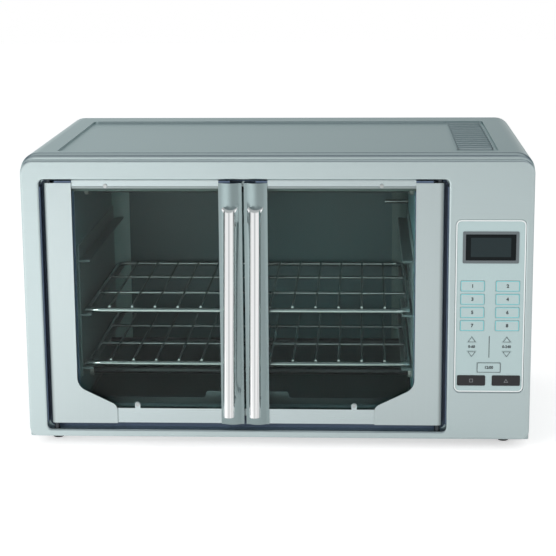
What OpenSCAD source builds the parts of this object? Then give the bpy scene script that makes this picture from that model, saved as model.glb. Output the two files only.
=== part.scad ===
// Countertop toaster oven with a pair of side-hinged glass doors.
// Lengths are in millimetres. The oven stands on its feet at z = 0, its doors face -Y, and the
// origin is under the middle of its whole box, with the handles and the rear stand-offs counted.

/* [Case] */
// Width of the case
body_w = 570; // [560:1:600]
// Depth of the case, from the fascia's face to the rear edge of the wrap
body_d = 330; // [325:1:360]
// Height of the case, from its underside to its top
body_h = 327; // [322:1:350]
// Height of the rolled step from the fascia's top up to the top of the case
nose_h = 7; // [6:0.5:10]
// Radius of the wrap's upper corners
wrap_corner_r = 20; // [16:1:26]
// Radius of the fascia's upper corners
fascia_top_r = 15; // [12:1:18]
// Radius of the fascia's lower corners
fascia_foot_r = 10; // [8:1:14]
// Thickness of the case sheets
sheet_t = 1; // [0.8:0.1:1.2]
// Thickness of the fascia's sheet
fascia_t = 1.2; // [1:0.1:1.4]
// Radius of the fascia's rolled outer edge
fascia_roll = 3; // [2.5:0.5:3.5]
// Radius of the wrap's rolled front edge
wrap_roll = 5; // [4:0.5:5.5]
// Width of the lips where the fascia and the wrap meet
lip_w = 6.5; // [6:0.5:7.5]
// Height of the feet
foot_h = 12; // [10:1:18]
// Radius of the feet
foot_r = 8; // [7:0.5:10]
// Distance of the feet from the sides of the case
foot_side = 26; // [22:1:32]
// Distance of the feet from the front and the rear of the case
foot_end = 40; // [36:1:50]
// How far the rear stand-offs reach behind the case
standoff_reach = 25; // [20:1:32]
// Distance of the stand-offs from the sides of the case
standoff_side = 45; // [40:1:60]
// Distance from the top of the case to the middle of the stand-offs
standoff_drop = 77; // [60:1:90]
// Width of the stand-offs
standoff_w = 22; // [18:1:28]
// Depth of the bulge in the rear cover
bulge_d = 15; // [12:1:18]
// Number of vent slots in each side of the case
side_vent_count = 9; // [6:1:10]
// Distance between the side vents
side_vent_pitch = 12; // [10:1:14]
// Height of a side vent
side_vent_h = 34; // [24:1:40]
// Width of every vent slot
vent_w = 5; // [4:0.5:6]

/* [Top] */
// Distance of the pressed field from the sides of the case
field_side = 39; // [34:1:44]
// Distance of the pressed field from the front of the case
field_front = 20; // [18:1:26]
// Distance of the pressed field from the rear of the case
field_rear = 38; // [32:1:44]
// Depth of the pressed field
field_d = 2.4; // [1.6:0.2:3]
// Number of louvres in the row
louvre_count = 14; // [10:1:14]
// Distance between neighbouring louvres
louvre_pitch = 17.6; // [16:0.2:18]
// Length of a louvre
louvre_len = 42; // [38:1:48]
// Radius of a louvre's hood
louvre_r = 5; // [4.5:0.5:6]
// How far a louvre stands out of the field
louvre_rise = 2.4; // [1.8:0.2:3]
// Distance from the field's front edge to the first louvre
louvre_front = 33; // [24:1:34]
// Distance from the field's right edge to the louvres
louvre_side = 3; // [2:0.5:6]

/* [Door recess] */
// Distance from the left side of the case to the door recess
recess_side = 21; // [20:0.5:26]
// Width of the fascia on either side of the control panel
panel_margin = 8.2; // [7.6:0.2:10]
// Height of the recess floor over the underside of the case
recess_sill = 9; // [9:0.5:12]
// Distance from the top of the recess to the fascia's top
recess_head = 22.5; // [20:0.5:26]
// Depth of the recess
recess_d = 15; // [15:0.5:18]
// Radius of the recess corners
recess_r = 5; // [4:0.5:6]
// Radius of the rolled edge of the recess
recess_roll = 2.5; // [2:0.5:3]

/* [Doors] */
// Thickness of a door
door_t = 12; // [11:0.5:12.5]
// Gap between a door's outer edge and the recess
door_side_gap = 4; // [3.5:0.5:4.5]
// Gap over the doors
door_head_gap = 3.5; // [3:0.5:5]
// Gap under the doors
door_sill_gap = 7.5; // [6:0.5:8]
// Gap between the two doors
meeting_gap = 2.4; // [2:0.2:4]
// Width of the hinge-side trim
trim_w = 32; // [30:1:36]
// Width of the trim's curved foot
trim_foot_w = 77; // [72:1:84]
// Height of the trim's curved foot at its end
trim_foot_end_h = 15.5; // [14:0.5:18]
// Height at which the trim's foot begins to spread
trim_foot_h = 50; // [46:1:56]
// Thickness of the trim's front plate
trim_t = 3; // [2.5:0.5:3.5]
// Width of the handle-side stile
stile_w = 26; // [25:0.5:30]
// Width of the stile's rounded middle
stile_column_w = 19; // [18:0.5:20]
// How far the stile's rounded middle stands out
stile_bulge = 3; // [2:0.5:4]
// Width of the solid edge blocks of the trim and the stile
edge_block_w = 13; // [12.5:0.5:14]
// Thickness of the door glass
glass_t = 4; // [3:0.5:5]
// Height of the upper door rail
top_rail_h = 8.8; // [8:0.2:11]
// Height of the lower door rail
foot_rail_h = 17; // [16:0.5:20]
// Gap over the upper rail
rail_head_gap = 1.2; // [1:0.1:2]
// How deep the glass sits in its rails
glass_grip = 5; // [4:0.5:6]
// Distance of the upper glass screw from the door's outer edge
top_screw_side = 70; // [60:1:80]
// Distance of the lower glass screw from the door's outer edge
foot_screw_side = 100; // [90:1:115]
// Height of the lower glass screw over its rail
foot_screw_rise = 4.5; // [4:0.5:6]
// Depth of the upper glass screw in its rail
top_screw_rise = 3; // [2.8:0.2:4]
// Radius of a glass screw's head
door_screw_r = 2.2; // [2:0.2:2.8]
// Radius of a glass screw's shank
screw_shank_r = 1.4; // [1.2:0.1:1.6]

/* [Handles] */
// Radius of the handle bar
handle_r = 6.25; // [5.5:0.25:7]
// Height of the bar's lower end over the door's lower edge
handle_foot = 24.5; // [20:0.5:30]
// Distance of the handle's upper tips below the door's upper edge
handle_head = 27; // [22:1:40]
// How far the middle of the bar stands out at its lower end
handle_low_reach = 52; // [46:1:58]
// How far the middle of the bar stands out at its upper end
handle_high_reach = 14; // [12:1:20]
// Width of the flared upper foot of the handle
handle_flare_w = 17; // [15:0.5:18.5]
// Radius of the hollow in the handle's upper end
handle_hollow_r = 11; // [10:0.5:14]
// Depth of that hollow
handle_hollow_d = 2.8; // [2:0.2:3.4]
// Radius of the handle's lower arm
handle_arm_r = 4.5; // [4:0.25:5]

/* [Hinges and linkage] */
// Radius of the upper hinge pin and the lower hinge shaft
pin_r = 3; // [2.5:0.25:3.25]
// Radial clearance of the pins in their brackets
running_gap = 0.05; // [0.03:0.01:0.08]
// How far the doors open, in degrees
door_open = 105; // [90:1:108]
// Radius from a hinge shaft to its crank pin
crank_r = 12; // [10:0.5:12]
// Radius of the linkage pins
link_pin_r = 2; // [1.5:0.25:2.25]
// Thickness of the cranks, the bars and the rocker
link_t = 1.8; // [1.5:0.1:1.8]
// Gap between the layers of the linkage
layer_gap = 0.4; // [0.3:0.05:0.4]
// Clearance of a crank pin in its slot, on each side
crank_slot_gap = 0.7; // [0.65:0.05:0.9]
// Clearance of a rocker pin in its slot, on each side
rocker_slot_gap = 0.3; // [0.25:0.05:0.4]
// Width of a sliding bar
bar_w = 18; // [18:0.5:21]
// Radius from the rocker's post to its pins
rocker_r = 20; // [18:0.5:21]
// Side clearance of the bars in their guides
guide_gap = 0.3; // [0.2:0.05:0.5]

/* [Cavity] */
// Distance of the cavity from the sides of the recess
reveal_side = 37; // [35:1:42]
// Height of the cavity floor over the recess floor
reveal_sill = 21; // [19:0.5:24]
// Distance of the cavity ceiling below the top of the recess
reveal_head = 9.5; // [8:0.5:12]
// Space between the cavity and the rear cover
cavity_rear_gap = 20; // [18:1:26]
// Height of the lowest rack level over the cavity floor
first_level = 48; // [44:1:50]
// Distance between the rack levels
level_pitch = 63; // [56:1:64]
// Number of rack levels
level_count = 3; // [3:1:3]
// Depth of the ledges
ledge_w = 12; // [10:0.5:13]
// Thickness of the ledges
ledge_t = 2.5; // [2:0.5:4]
// How far the guides reach past the lowest and the highest rack level
guide_end = 14; // [12:1:16]
// Distance of the racks from the cavity's side walls
rack_side_gap = 2.5; // [2:0.25:3]
// Distance from the recess to the front of the racks and the crumb tray
rack_setback = 20; // [19:1:26]
// Radius of a rack's outer wire
rack_wire_r = 2.6; // [2.25:0.1:3]
// Radius of a rack's fine wires
rack_fine_r = 1.4; // [1.2:0.1:1.7]
// Number of a rack's fine wires
rack_wire_count = 13; // [11:1:15]
// Height of the crumb tray's front lip
tray_lip_h = 7.5; // [6:0.5:9]
// Height of the raised tab on the crumb tray's lip
tray_tab_h = 15; // [12:0.5:16]
// Width of the raised tab
tray_tab_w = 96; // [80:1:110]
// Radius of the heating elements
element_r = 4; // [3.5:0.25:4.5]
// Distance of the upper elements below the cavity ceiling
element_drop = 15; // [13:1:20]
// Height of the lower elements over the cavity floor
element_rise = 25; // [24:0.5:28]
// Distance of the front elements from the case's face
element_front = 90; // [80:1:100]
// Distance between the front and the rear elements
element_pitch = 140; // [120:1:150]
// How far an element's sheath reaches past the cavity wall
element_tail = 14; // [12:1:18]
// How far the temperature probe reaches into the cavity
probe_reach = 30; // [24:1:34]
// Radius of the temperature probe
probe_r = 2.4; // [2:0.1:2.6]

/* [Convection fan] */
// Radius of the fan opening
fan_open_r = 48; // [44:1:50]
// Radius of the fan wheel
fan_r = 42; // [36:1:46]
// Number of fan blades
fan_blades = 10; // [8:1:12]
// Distance between the rings of the fan grille
grille_pitch = 10; // [8:0.5:12]
// Width of the grille's rings and spokes
grille_bar = 3; // [2.5:0.25:3.5]
// Depth of the fan housing
fan_housing_d = 25; // [23:1:30]
// Radius of the fan motor
motor_r = 27; // [24:1:30]
// Length of the fan motor
motor_len = 36; // [30:1:40]

/* [Control panel] */
// Width of the panel opening
panel_w = 77.6; // [76:0.2:78]
// Height of the panel opening
panel_h = 197; // [195:1:204]
// Height of the panel's middle over the underside of the case
panel_mid = 154.5; // [150:0.5:158]
// Radius of the panel's corners
panel_r = 6; // [5:0.5:8]
// How far the panel lies behind the fascia's face
panel_inset = 1.5; // [1.2:0.1:1.8]
// How far the keys stand out of the panel
key_proud = 0.6; // [0.4:0.1:1]
// Travel of a key
key_travel = 0.8; // [0.5:0.1:0.9]
// Clearance around a key in its hole
key_gap = 0.25; // [0.2:0.05:0.35]
// Gap between the two black keys
key_middle_gap = 7.8; // [6:0.2:9]
// Distance of the black keys from the edges of the panel
key_side = 3.7; // [3:0.1:5]
// Width of a function key
key_w = 26.5; // [25:0.5:27.5]
// Height of a function key
key_h = 12; // [11:0.25:12.5]
// Distance between the rows of function keys
key_pitch = 15.1; // [14.7:0.1:15.2]
// Width of the display bezel
bezel_w = 62; // [60:0.5:66]
// Height of the display bezel
bezel_h = 36; // [34:0.5:38]
// Width of the bezel's rim
bezel_rim = 3.2; // [2.8:0.2:4]

/* [Hidden] */
$fn = 48;
part_gap = 0.2;          // between sheets that slip into each other
shaft_gap = 0.02;        // between a pin and the part that is pressed onto it
cut = 1;                 // how far a cutter reaches past what it cuts

fascia_h = body_h - nose_h;
handle_reach = handle_low_reach + handle_r;
total_d = handle_reach + body_d + standoff_reach;
face_y = handle_reach - total_d / 2;
half_w = body_w / 2;
control_w = panel_w + 2 * panel_margin;
field_z = body_h - field_d;

recess_x0 = -half_w + recess_side;
recess_x1 = half_w - control_w;
recess_mid = (recess_x0 + recess_x1) / 2;
recess_top = fascia_h - recess_head;
recess_floor_y = recess_d;

door_w = (recess_x1 - recess_x0 - 2 * door_side_gap - meeting_gap) / 2;
door_x0 = recess_x0 + door_side_gap;
door_z0 = recess_sill + door_sill_gap;
door_z1 = recess_top - door_head_gap;
pivot_r = door_t / 2;
pivot_x = door_x0 + pivot_r;
pivot_y = pivot_r;
glass_y = pivot_y;
rail_z1 = recess_top - rail_head_gap;
glass_z0 = door_z0 + foot_rail_h - glass_grip;
glass_z1 = rail_z1 - top_rail_h + glass_grip;
foot_screw_z = door_z0 + foot_rail_h + foot_screw_rise;
top_screw_z = rail_z1 - top_rail_h + top_screw_rise;
bulge_radius = (pow(stile_column_w / 2, 2) + pow(stile_bulge, 2)) / (2 * stile_bulge);

cavity_x0 = recess_x0 + reveal_side;
cavity_x1 = recess_x1 - reveal_side;
cavity_z0 = recess_sill + reveal_sill;
cavity_z1 = recess_top - reveal_head;
cavity_y0 = recess_floor_y + fascia_t;
cavity_y1 = body_d - cavity_rear_gap;
cavity_w = cavity_x1 - cavity_x0;
flange_w = 8;
rack_y0 = recess_floor_y + rack_setback;
rack_y1 = cavity_y1 - 8;
wire_drop = 0.3;         // the racks rest this far above their ledges
guide_z0 = level(0) - guide_end;
guide_z1 = level(level_count - 1) + guide_end;
element_ys = [element_front, element_front + element_pitch];
insulator_r = element_r + 2.5;
probe_y = cavity_y1 - 30;
probe_z = guide_z1 + probe_r + 6;

crank_z = sheet_t + 0.6;
bar_z = crank_z + link_t + layer_gap;
bracket_z = bar_z + link_t + layer_gap;
link_y = pivot_y + pin_r + 0.8;
crank_start = door_open / 2;
bar_travel = 2 * crank_r * sin(crank_start);
rocker_start = asin(bar_travel / 2 / rocker_r);
rocker_x = recess_mid;
rocker_y = link_y + bar_w / 2 + rocker_r + 1.3;
link_rim = 3.2;          // metal around a linkage pin or slot
bearing_wall = 4.5;
rocker_float = 0.1;      // play of the rocker between its shoulder and its head
hub_r = pin_r + 0.6;

fan_y = (cavity_y0 + cavity_y1) / 2 + 7;
fan_z = (guide_z0 + guide_z1) / 2;
fan_x = cavity_x1 + sheet_t;
shaft_r = 3;

panel_x = half_w - control_w / 2;
panel_z0 = panel_mid - panel_h / 2;
panel_z1 = panel_mid + panel_h / 2;
panel_roll = 1.5;
panel_flange = fascia_t + 0.3;
panel_flange_t = 1.5;
stud_r = 2.5;            // studs that carry the control board
stud_inset = 3.5;
panel_t = 3;
panel_back = panel_inset + panel_t;
black_key_w = (panel_w - key_middle_gap) / 2 - key_side;
key_column = (black_key_w + key_middle_gap) / 2;
key_face = panel_inset - key_proud;
key_rows = [for (i = [0:3]) panel_mid + 23.7 - i * key_pitch];
arrow_up_z = panel_mid - 37.5;
arrow_down_z = panel_mid - 54.5;
clock_z = panel_mid - 70;
black_z = panel_mid - 85.2;
arrow_w = 10.5;
arrow_h = 7;
clock_h = 11.7;
display_z = panel_mid + 67.5;
plunger_end = panel_back + key_travel + 2.8;
board_y = plunger_end + key_travel + 1.1;
switch_h = 1;
board_t = 1.6;

// ---------------------------------------------------------------- helpers

// The case's own frame: y = 0 on the fascia's face and z = 0 under the case.
module in_case() { translate([0, face_y, foot_h]) children(); }

// Repeats a left-hand piece as the right-hand one, across the middle of the door recess.
module opposite() { translate([2 * recess_mid, 0, 0]) mirror([1, 0, 0]) children(); }

// An upright plate: a flat outline in x and z, from y to y + t.
module slab(y, t) { translate([0, y + t, 0]) rotate([90, 0, 0]) linear_extrude(t) children(); }

// A rectangle between two corners with one radius above and another below.
module round_rect(x0, z0, x1, z1, r_top, r_foot) {
    translate([x0 + r_top, z1 - r_top]) circle(r_top);
    translate([x1 - r_top, z1 - r_top]) circle(r_top);
    translate([x0 + r_foot, z0 + r_foot]) circle(r_foot);
    translate([x1 - r_foot, z0 + r_foot]) circle(r_foot);
    translate([x0, z0 + r_foot]) square([x1 - x0, z1 - z0 - r_top - r_foot]);
    translate([x0 + r_top, z1 - r_top]) square([x1 - x0 - 2 * r_top, r_top]);
    translate([x0 + r_foot, z0]) square([x1 - x0 - 2 * r_foot, r_foot]);
}

// Section of a rolled sheet edge: a quarter turn, then a wall back to the given depth.
// The outer face of the wall is at x = 0, the front is at y = 0, and the sheet lies at x < 0.
// A stub of flat sheet can lead on from the turn.
module rolled_section(roll, t, depth, stub) {
    difference() {
        translate([-roll, roll]) circle(roll);
        translate([-roll, roll]) circle(roll - t);
        translate([-3 * roll, -cut]) square([2 * roll, 4 * roll]);
        translate([-2 * roll, roll]) square([3 * roll, 2 * roll]);
    }
    if (depth > roll) translate([-t, roll]) square([t, depth - roll]);
    if (stub > 0) translate([-roll - stub, 0]) square([stub, t]);
}

// A rolled edge along a rounded rectangle. Side is 1 for an outer edge and -1 for an opening.
module rolled_loop(x0, z0, x1, z1, r_top, r_foot, roll, t, depth, side, closed, stub = 0) {
    foot = closed ? r_foot : 0;
    module section() scale_side(side) rolled_section(roll, t, depth, stub);
    module corner(x, z, r, turn)
        translate([x, 0, z]) rotate([-90, 0, 0]) rotate([0, 0, turn])
            rotate_extrude(angle = 90) translate([r, 0]) section();
    translate([x1, 0, z0 + foot]) linear_extrude(z1 - z0 - r_top - foot) section();
    translate([x0, 0, z1 - r_top]) rotate([0, 180, 0])
        linear_extrude(z1 - z0 - r_top - foot) section();
    translate([x1 - r_top, 0, z1]) rotate([0, -90, 0])
        linear_extrude(x1 - x0 - 2 * r_top) section();
    corner(x1 - r_top, z1 - r_top, r_top, -90);
    corner(x0 + r_top, z1 - r_top, r_top, 180);
    if (closed) {
        translate([x0 + r_foot, 0, z0]) rotate([0, 90, 0])
            linear_extrude(x1 - x0 - 2 * r_foot) section();
        corner(x1 - r_foot, z0 + r_foot, r_foot, 0);
        corner(x0 + r_foot, z0 + r_foot, r_foot, 90);
    }
}

module scale_side(side) { mirror([side > 0 ? 0 : 1, 0]) children(); }

// A block between two corners.
module block(a, b) { translate(a) cube(b - a); }

// A round bar along x, y or z from a point.
module bar_x(p, r, len) { translate(p) rotate([0, 90, 0]) cylinder(r = r, h = len); }
module bar_y(p, r, len) { translate(p) rotate([-90, 0, 0]) cylinder(r = r, h = len); }
module bar_z(p, r, len) { translate(p) cylinder(r = r, h = len); }

// ---------------------------------------------------------------- case

module front_fascia() {
    inset = fascia_roll;
    color("gainsboro") in_case() {
        slab(0, fascia_t) difference() {
            round_rect(-half_w + inset, inset, half_w - inset, fascia_h - inset,
                fascia_top_r - inset, fascia_foot_r - inset);
            round_rect(recess_x0 - recess_roll, recess_sill - recess_roll,
                recess_x1 + recess_roll, recess_top + recess_roll,
                recess_r + recess_roll, recess_r + recess_roll);
            round_rect(panel_x - panel_w / 2 - panel_roll, panel_z0 - panel_roll,
                panel_x + panel_w / 2 + panel_roll, panel_z1 + panel_roll,
                panel_r + panel_roll, panel_r + panel_roll);
        }
        rolled_loop(-half_w, 0, half_w, fascia_h, fascia_top_r, fascia_foot_r,
            fascia_roll, fascia_t, fascia_roll, 1, true);
        fascia_lip();
        difference() {
            union() {
                rolled_loop(recess_x0, recess_sill, recess_x1, recess_top, recess_r, recess_r,
                    recess_roll, fascia_t, recess_floor_y + fascia_t, -1, true);
                recess_back();
            }
            for (x = [pivot_x, 2 * recess_mid - pivot_x])
                bar_z([x, pivot_y, 0], pin_r + 1, fascia_h);
        }
        rolled_loop(panel_x - panel_w / 2, panel_z0, panel_x + panel_w / 2, panel_z1,
            panel_r, panel_r, panel_roll, fascia_t, panel_back - panel_flange_t, -1, true);
    }
}

// The lip behind the fascia's outer edge, left out along the bottom.
module fascia_lip() {
    slab(fascia_roll - sheet_t, sheet_t) difference() {
        round_rect(-half_w + 0.1, 0.1, half_w - 0.1, fascia_h - 0.1,
            fascia_top_r - 0.1, fascia_foot_r - 0.1);
        round_rect(-half_w + lip_w, -cut, half_w - lip_w, fascia_h - lip_w,
            fascia_top_r - lip_w + 2, cut);
        translate([-half_w - cut, -cut]) square([body_w + 2 * cut, fascia_foot_r + cut]);
    }
}

module recess_back() {
    slab(recess_floor_y, fascia_t) difference() {
        round_rect(recess_x0 - fascia_t / 2, recess_sill - fascia_t / 2,
            recess_x1 + fascia_t / 2, recess_top + fascia_t / 2, recess_r, recess_r);
        translate([cavity_x0, cavity_z0]) square([cavity_w, cavity_z1 - cavity_z0]);
    }
}

module outer_wrap() {
    color("lightsteelblue") in_case() {
        difference() {
            union() {
                translate([0, fascia_roll, 0])
                    rolled_loop(-half_w, 0, half_w, body_h, wrap_corner_r, 0, wrap_roll, sheet_t,
                        body_d - fascia_roll, 1, false, sheet_t);
                wrap_lip();
            }
            translate([0, 0, body_h - sheet_t - cut]) linear_extrude(sheet_t + 2 * cut)
                field_outline();
            side_vents();
        }
        // The pressed field, a shallow tray that hangs in the top's opening.
        difference() {
            translate([0, 0, field_z - sheet_t]) linear_extrude(sheet_t + field_d)
                field_outline(-sheet_t);
            translate([0, 0, field_z]) linear_extrude(field_d + cut) field_outline();
            louvre_row() louvre_slot();
        }
        louvre_row() louvre_hood();
    }
}

// Upright slots through both sides, low down towards the rear.
module side_vents() {
    y1 = body_d - 40;
    z0 = 36;
    for (i = [0:side_vent_count - 1])
        block([-half_w - cut, y1 - i * side_vent_pitch - vent_w, z0],
            [half_w + cut, y1 - i * side_vent_pitch, z0 + side_vent_h]);
}

// The pressed field's outline on the top, pulled in by the given margin.
module field_outline(margin = 0) {
    r = 6 - margin;
    x0 = -half_w + field_side + margin;
    x1 = half_w - field_side - margin;
    y0 = field_front + margin;
    y1 = body_d - field_rear - margin;
    for (x = [x0 + r, x1 - r], y = [y0 + r, y1 - r]) translate([x, y]) circle(r);
    translate([x0 + r, y0]) square([x1 - x0 - 2 * r, y1 - y0]);
    translate([x0, y0 + r]) square([x1 - x0, y1 - y0 - 2 * r]);
}

module wrap_lip() {
    slab(fascia_roll, sheet_t) difference() {
        round_rect(-half_w + wrap_roll, 0, half_w - wrap_roll, body_h - wrap_roll,
            wrap_corner_r - wrap_roll, 0.01);
        round_rect(-half_w + lip_w, -cut, half_w - lip_w, body_h - nose_h - lip_w + 1,
            wrap_corner_r - lip_w, 0.01);
    }
}

module louvre_row() {
    x = half_w - field_side - louvre_side - louvre_len / 2;
    for (i = [0:louvre_count - 1])
        translate([x, field_front + louvre_front + i * louvre_pitch, field_z]) children();
}

// Half the width of a louvre's hood where it leaves the field.
louvre_half = sqrt(pow(louvre_r, 2) - pow(louvre_r - louvre_rise, 2));
louvre_mouth_y = -1.5;   // the rear edge of a louvre's mouth

module louvre_slot() {
    block([-louvre_len / 2 + 2 * sheet_t, 1 - louvre_half, -sheet_t - cut],
        [louvre_len / 2 - 2 * sheet_t, louvre_half - 2, cut]);
}

// A hood with a round back that opens towards the front.
module louvre_hood() {
    half_len = louvre_len / 2;
    z = louvre_rise - louvre_r;
    difference() {
        bar_x([-half_len, 0, z], louvre_r, louvre_len);
        bar_x([-half_len + sheet_t, 0, z], louvre_r - sheet_t, louvre_len - 2 * sheet_t);
        block([-louvre_len, -2 * louvre_r, -3 * louvre_r],
            [louvre_len, 2 * louvre_r, -sheet_t / 2]);
        block([-half_len + sheet_t, -louvre_r - cut, -sheet_t],
            [half_len - sheet_t, louvre_mouth_y, louvre_rise + cut]);
    }
}

module base_pan() {
    x = half_w - sheet_t - part_gap;
    tongue_x = half_w - lip_w - part_gap;
    tongue_y = fascia_roll + sheet_t + part_gap;
    y0 = fascia_roll + wrap_roll + part_gap;
    y1 = body_d - sheet_t - part_gap;
    wall_h = 6;
    vent_count = 10;
    vent_pitch = 26;
    vent_len = 45;
    vent_x0 = recess_mid - vent_pitch * (vent_count - 1) / 2;
    color("silver") in_case() {
        difference() {
            union() {
                block([-x, y0, 0], [x, y1, sheet_t]);
                block([-tongue_x, tongue_y, 0], [tongue_x, y0, sheet_t]);
            }
            for (i = [0:vent_count - 1], y = [body_d / 3, body_d * 2 / 3])
                block([vent_x0 + i * vent_pitch, y, -cut],
                    [vent_x0 + i * vent_pitch + vent_w, y + vent_len, sheet_t + cut]);
            foot_places() bar_z([0, 0, -cut], foot_plug_r, sheet_t + 2 * cut);
        }
        for (side = [-1, 1])
            block([side * (x - sheet_t / 2) - sheet_t / 2, y0, 0],
                [side * (x - sheet_t / 2) + sheet_t / 2, y1, wall_h]);
        block([-x, y1 - sheet_t, 0], [x, y1, wall_h]);
    }
}

module foot_places() {
    for (x = [-half_w + foot_side, half_w - foot_side], y = [foot_end, body_d - foot_end])
        translate([x, y, 0]) children();
}

foot_plug_r = 2.2;

// A rubber foot that tapers to a chamfered toe, with a plug that grips the base pan.
module feet() {
    chamfer = 1.5;
    taper = 0.6;
    color("dimgray") in_case() foot_places() {
        rotate_extrude() polygon([[0, -foot_h], [foot_r - taper - chamfer, -foot_h],
            [foot_r - taper, -foot_h + chamfer], [foot_r, 0], [0, 0]]);
        bar_z([0, 0, -cut], foot_plug_r, cut + sheet_t);
    }
}

module rear_cover() {
    x = half_w - sheet_t - part_gap;
    z1 = body_h - sheet_t - part_gap;
    r = wrap_corner_r - sheet_t - part_gap;
    y = body_d - sheet_t;
    wall = 2;
    standoff_z = body_h - standoff_drop;
    bulge_x0 = cavity_x0 + 20;
    bulge_x1 = cavity_x1 - 20;
    bulge_z0 = cavity_z0 + 30;
    bulge_z1 = cavity_z1 - 30;
    bulge_r = 14;
    vent_pitch = 14;
    vent_len = 110;
    side_vent_len = 90;
    color("silver") in_case() {
        difference() {
            slab(y, sheet_t) round_rect(-x, 0, x, z1, r, 1);
            slab(y - cut, sheet_t + 2 * cut)
                round_rect(bulge_x0, bulge_z0, bulge_x1, bulge_z1, bulge_r, bulge_r);
            rear_screw_places() bar_y([0, y - cut, 0], case_screw_r + 0.1, sheet_t + 2 * cut);
            bar_y([gland_x, y - cut, gland_z], gland_r, sheet_t + 2 * cut);
            slab(y - cut, sheet_t + 2 * cut) for (i = [0:6])
                slot_outline(fan_x + 8, bulge_z1 + vent_w - i * vent_pitch, side_vent_len, vent_w);
        }
        // The pressed bulge, a shallow tray that opens forwards.
        difference() {
            slab(y, sheet_t + bulge_d)
                round_rect(bulge_x0 - sheet_t, bulge_z0 - sheet_t, bulge_x1 + sheet_t,
                    bulge_z1 + sheet_t, bulge_r, bulge_r);
            slab(y - cut, cut + bulge_d)
                round_rect(bulge_x0, bulge_z0, bulge_x1, bulge_z1, bulge_r, bulge_r);
            slab(y, sheet_t + bulge_d + cut) for (i = [-3:4], s = [-1, 1])
                slot_outline(recess_mid + s * (vent_len + 50) / 2 - vent_len / 2,
                    (bulge_z0 + bulge_z1) / 2 - 12 + i * vent_pitch, vent_len, vent_w);
        }
        // Stand-offs that keep the oven off a wall.
        for (sx = [-half_w + standoff_side, half_w - standoff_side]) translate([sx, 0, standoff_z])
            difference() {
                slab(y, sheet_t + standoff_reach) centred(standoff_w, standoff_w + 2, 6);
                slab(y - cut, cut + standoff_reach - sheet_t)
                    centred(standoff_w - 2 * wall, standoff_w + 2 - 2 * wall, 6 - wall);
            }
    }
}

// A level slot with round ends.
module slot_outline(x, z, len, w) {
    translate([x + w / 2, z + w / 2]) circle(d = w);
    translate([x + len - w / 2, z + w / 2]) circle(d = w);
    translate([x + w / 2, z]) square([len - w, w]);
}

gland_x = half_w - 60;
gland_z = 45;
gland_r = 7;
case_screw_r = 1.6;

module rear_screw_places() {
    margin = 12;
    for (x = [-half_w + margin, -half_w / 3, half_w / 3, half_w - margin],
            z = [margin, body_h - margin - sheet_t])
        translate([x, 0, z]) children();
}

module case_screws() {
    shank_len = 7;
    head_t = 1.4;
    color("silver") in_case() rear_screw_places() {
        bar_y([0, body_d, 0], 2.2 * case_screw_r, head_t);
        bar_y([0, body_d - shank_len, 0], case_screw_r, shank_len);
    }
}

module cord_gland() {
    head_t = 4;
    grip_t = 6;
    bore_r = 4.2;
    color("black") in_case() translate([gland_x, body_d, gland_z]) difference() {
        union() {
            rotate([-90, 0, 0]) rotate_extrude() polygon([[0, 0], [gland_r + 4, 0],
                [gland_r + 4, head_t / 2], [gland_r + 1, head_t], [0, head_t]]);
            bar_y([0, -sheet_t, 0], gland_r - 0.1, sheet_t);
            bar_y([0, -sheet_t - grip_t, 0], gland_r + 2, grip_t);
        }
        bar_y([0, -20, 0], bore_r, 40);
    }
}

// ---------------------------------------------------------------- cavity

module cavity_liner() {
    t = sheet_t;
    color("dimgray") in_case() difference() {
        union() {
            block([cavity_x0 - t, cavity_y0, cavity_z0 - t],
                [cavity_x1 + t, cavity_y1 + t, cavity_z1 + t]);
            block([cavity_x0 - flange_w, cavity_y0, cavity_z0 - flange_w],
                [cavity_x1 + flange_w, cavity_y0 + t, cavity_z1 + flange_w - 2]);
        }
        block([cavity_x0, cavity_y0 - cut, cavity_z0], [cavity_x1, cavity_y1, cavity_z1]);
        bar_x([cavity_x1 - cut, fan_y, fan_z], fan_open_r, t + 2 * cut);
        element_ends() bar_x([-cut - t, 0, 0], insulator_r, 2 * cut + 2 * t);
        bar_x([cavity_x1 - cut, probe_y, probe_z], probe_r + part_gap, t + 2 * cut);
    }
}

function level(i) = cavity_z0 + first_level + i * level_pitch;

module rack_guides() {
    y0 = rack_y0 - 6;
    y1 = cavity_y1 - 4;
    module guide(x, side) {
        block([min(x, x + side * sheet_t), y0, guide_z0],
            [max(x, x + side * sheet_t), y1, guide_z1]);
        for (i = [0:level_count - 1]) {
            top = level(i) - rack_wire_r - wire_drop;
            reach = side * (sheet_t + ledge_w - ledge_t / 2);
            block([min(x, x + reach), y0, top - ledge_t], [max(x, x + reach), y1, top]);
            bar_y([x + reach, y0, top - ledge_t / 2], ledge_t / 2, y1 - y0);
        }
    }
    color("gray") in_case() {
        guide(cavity_x0, 1);
        difference() {
            guide(cavity_x1, -1);
            bar_x([cavity_x1 - 2 * ledge_w, fan_y, fan_z], fan_grille_r + 1, 4 * ledge_w);
        }
    }
}

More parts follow.
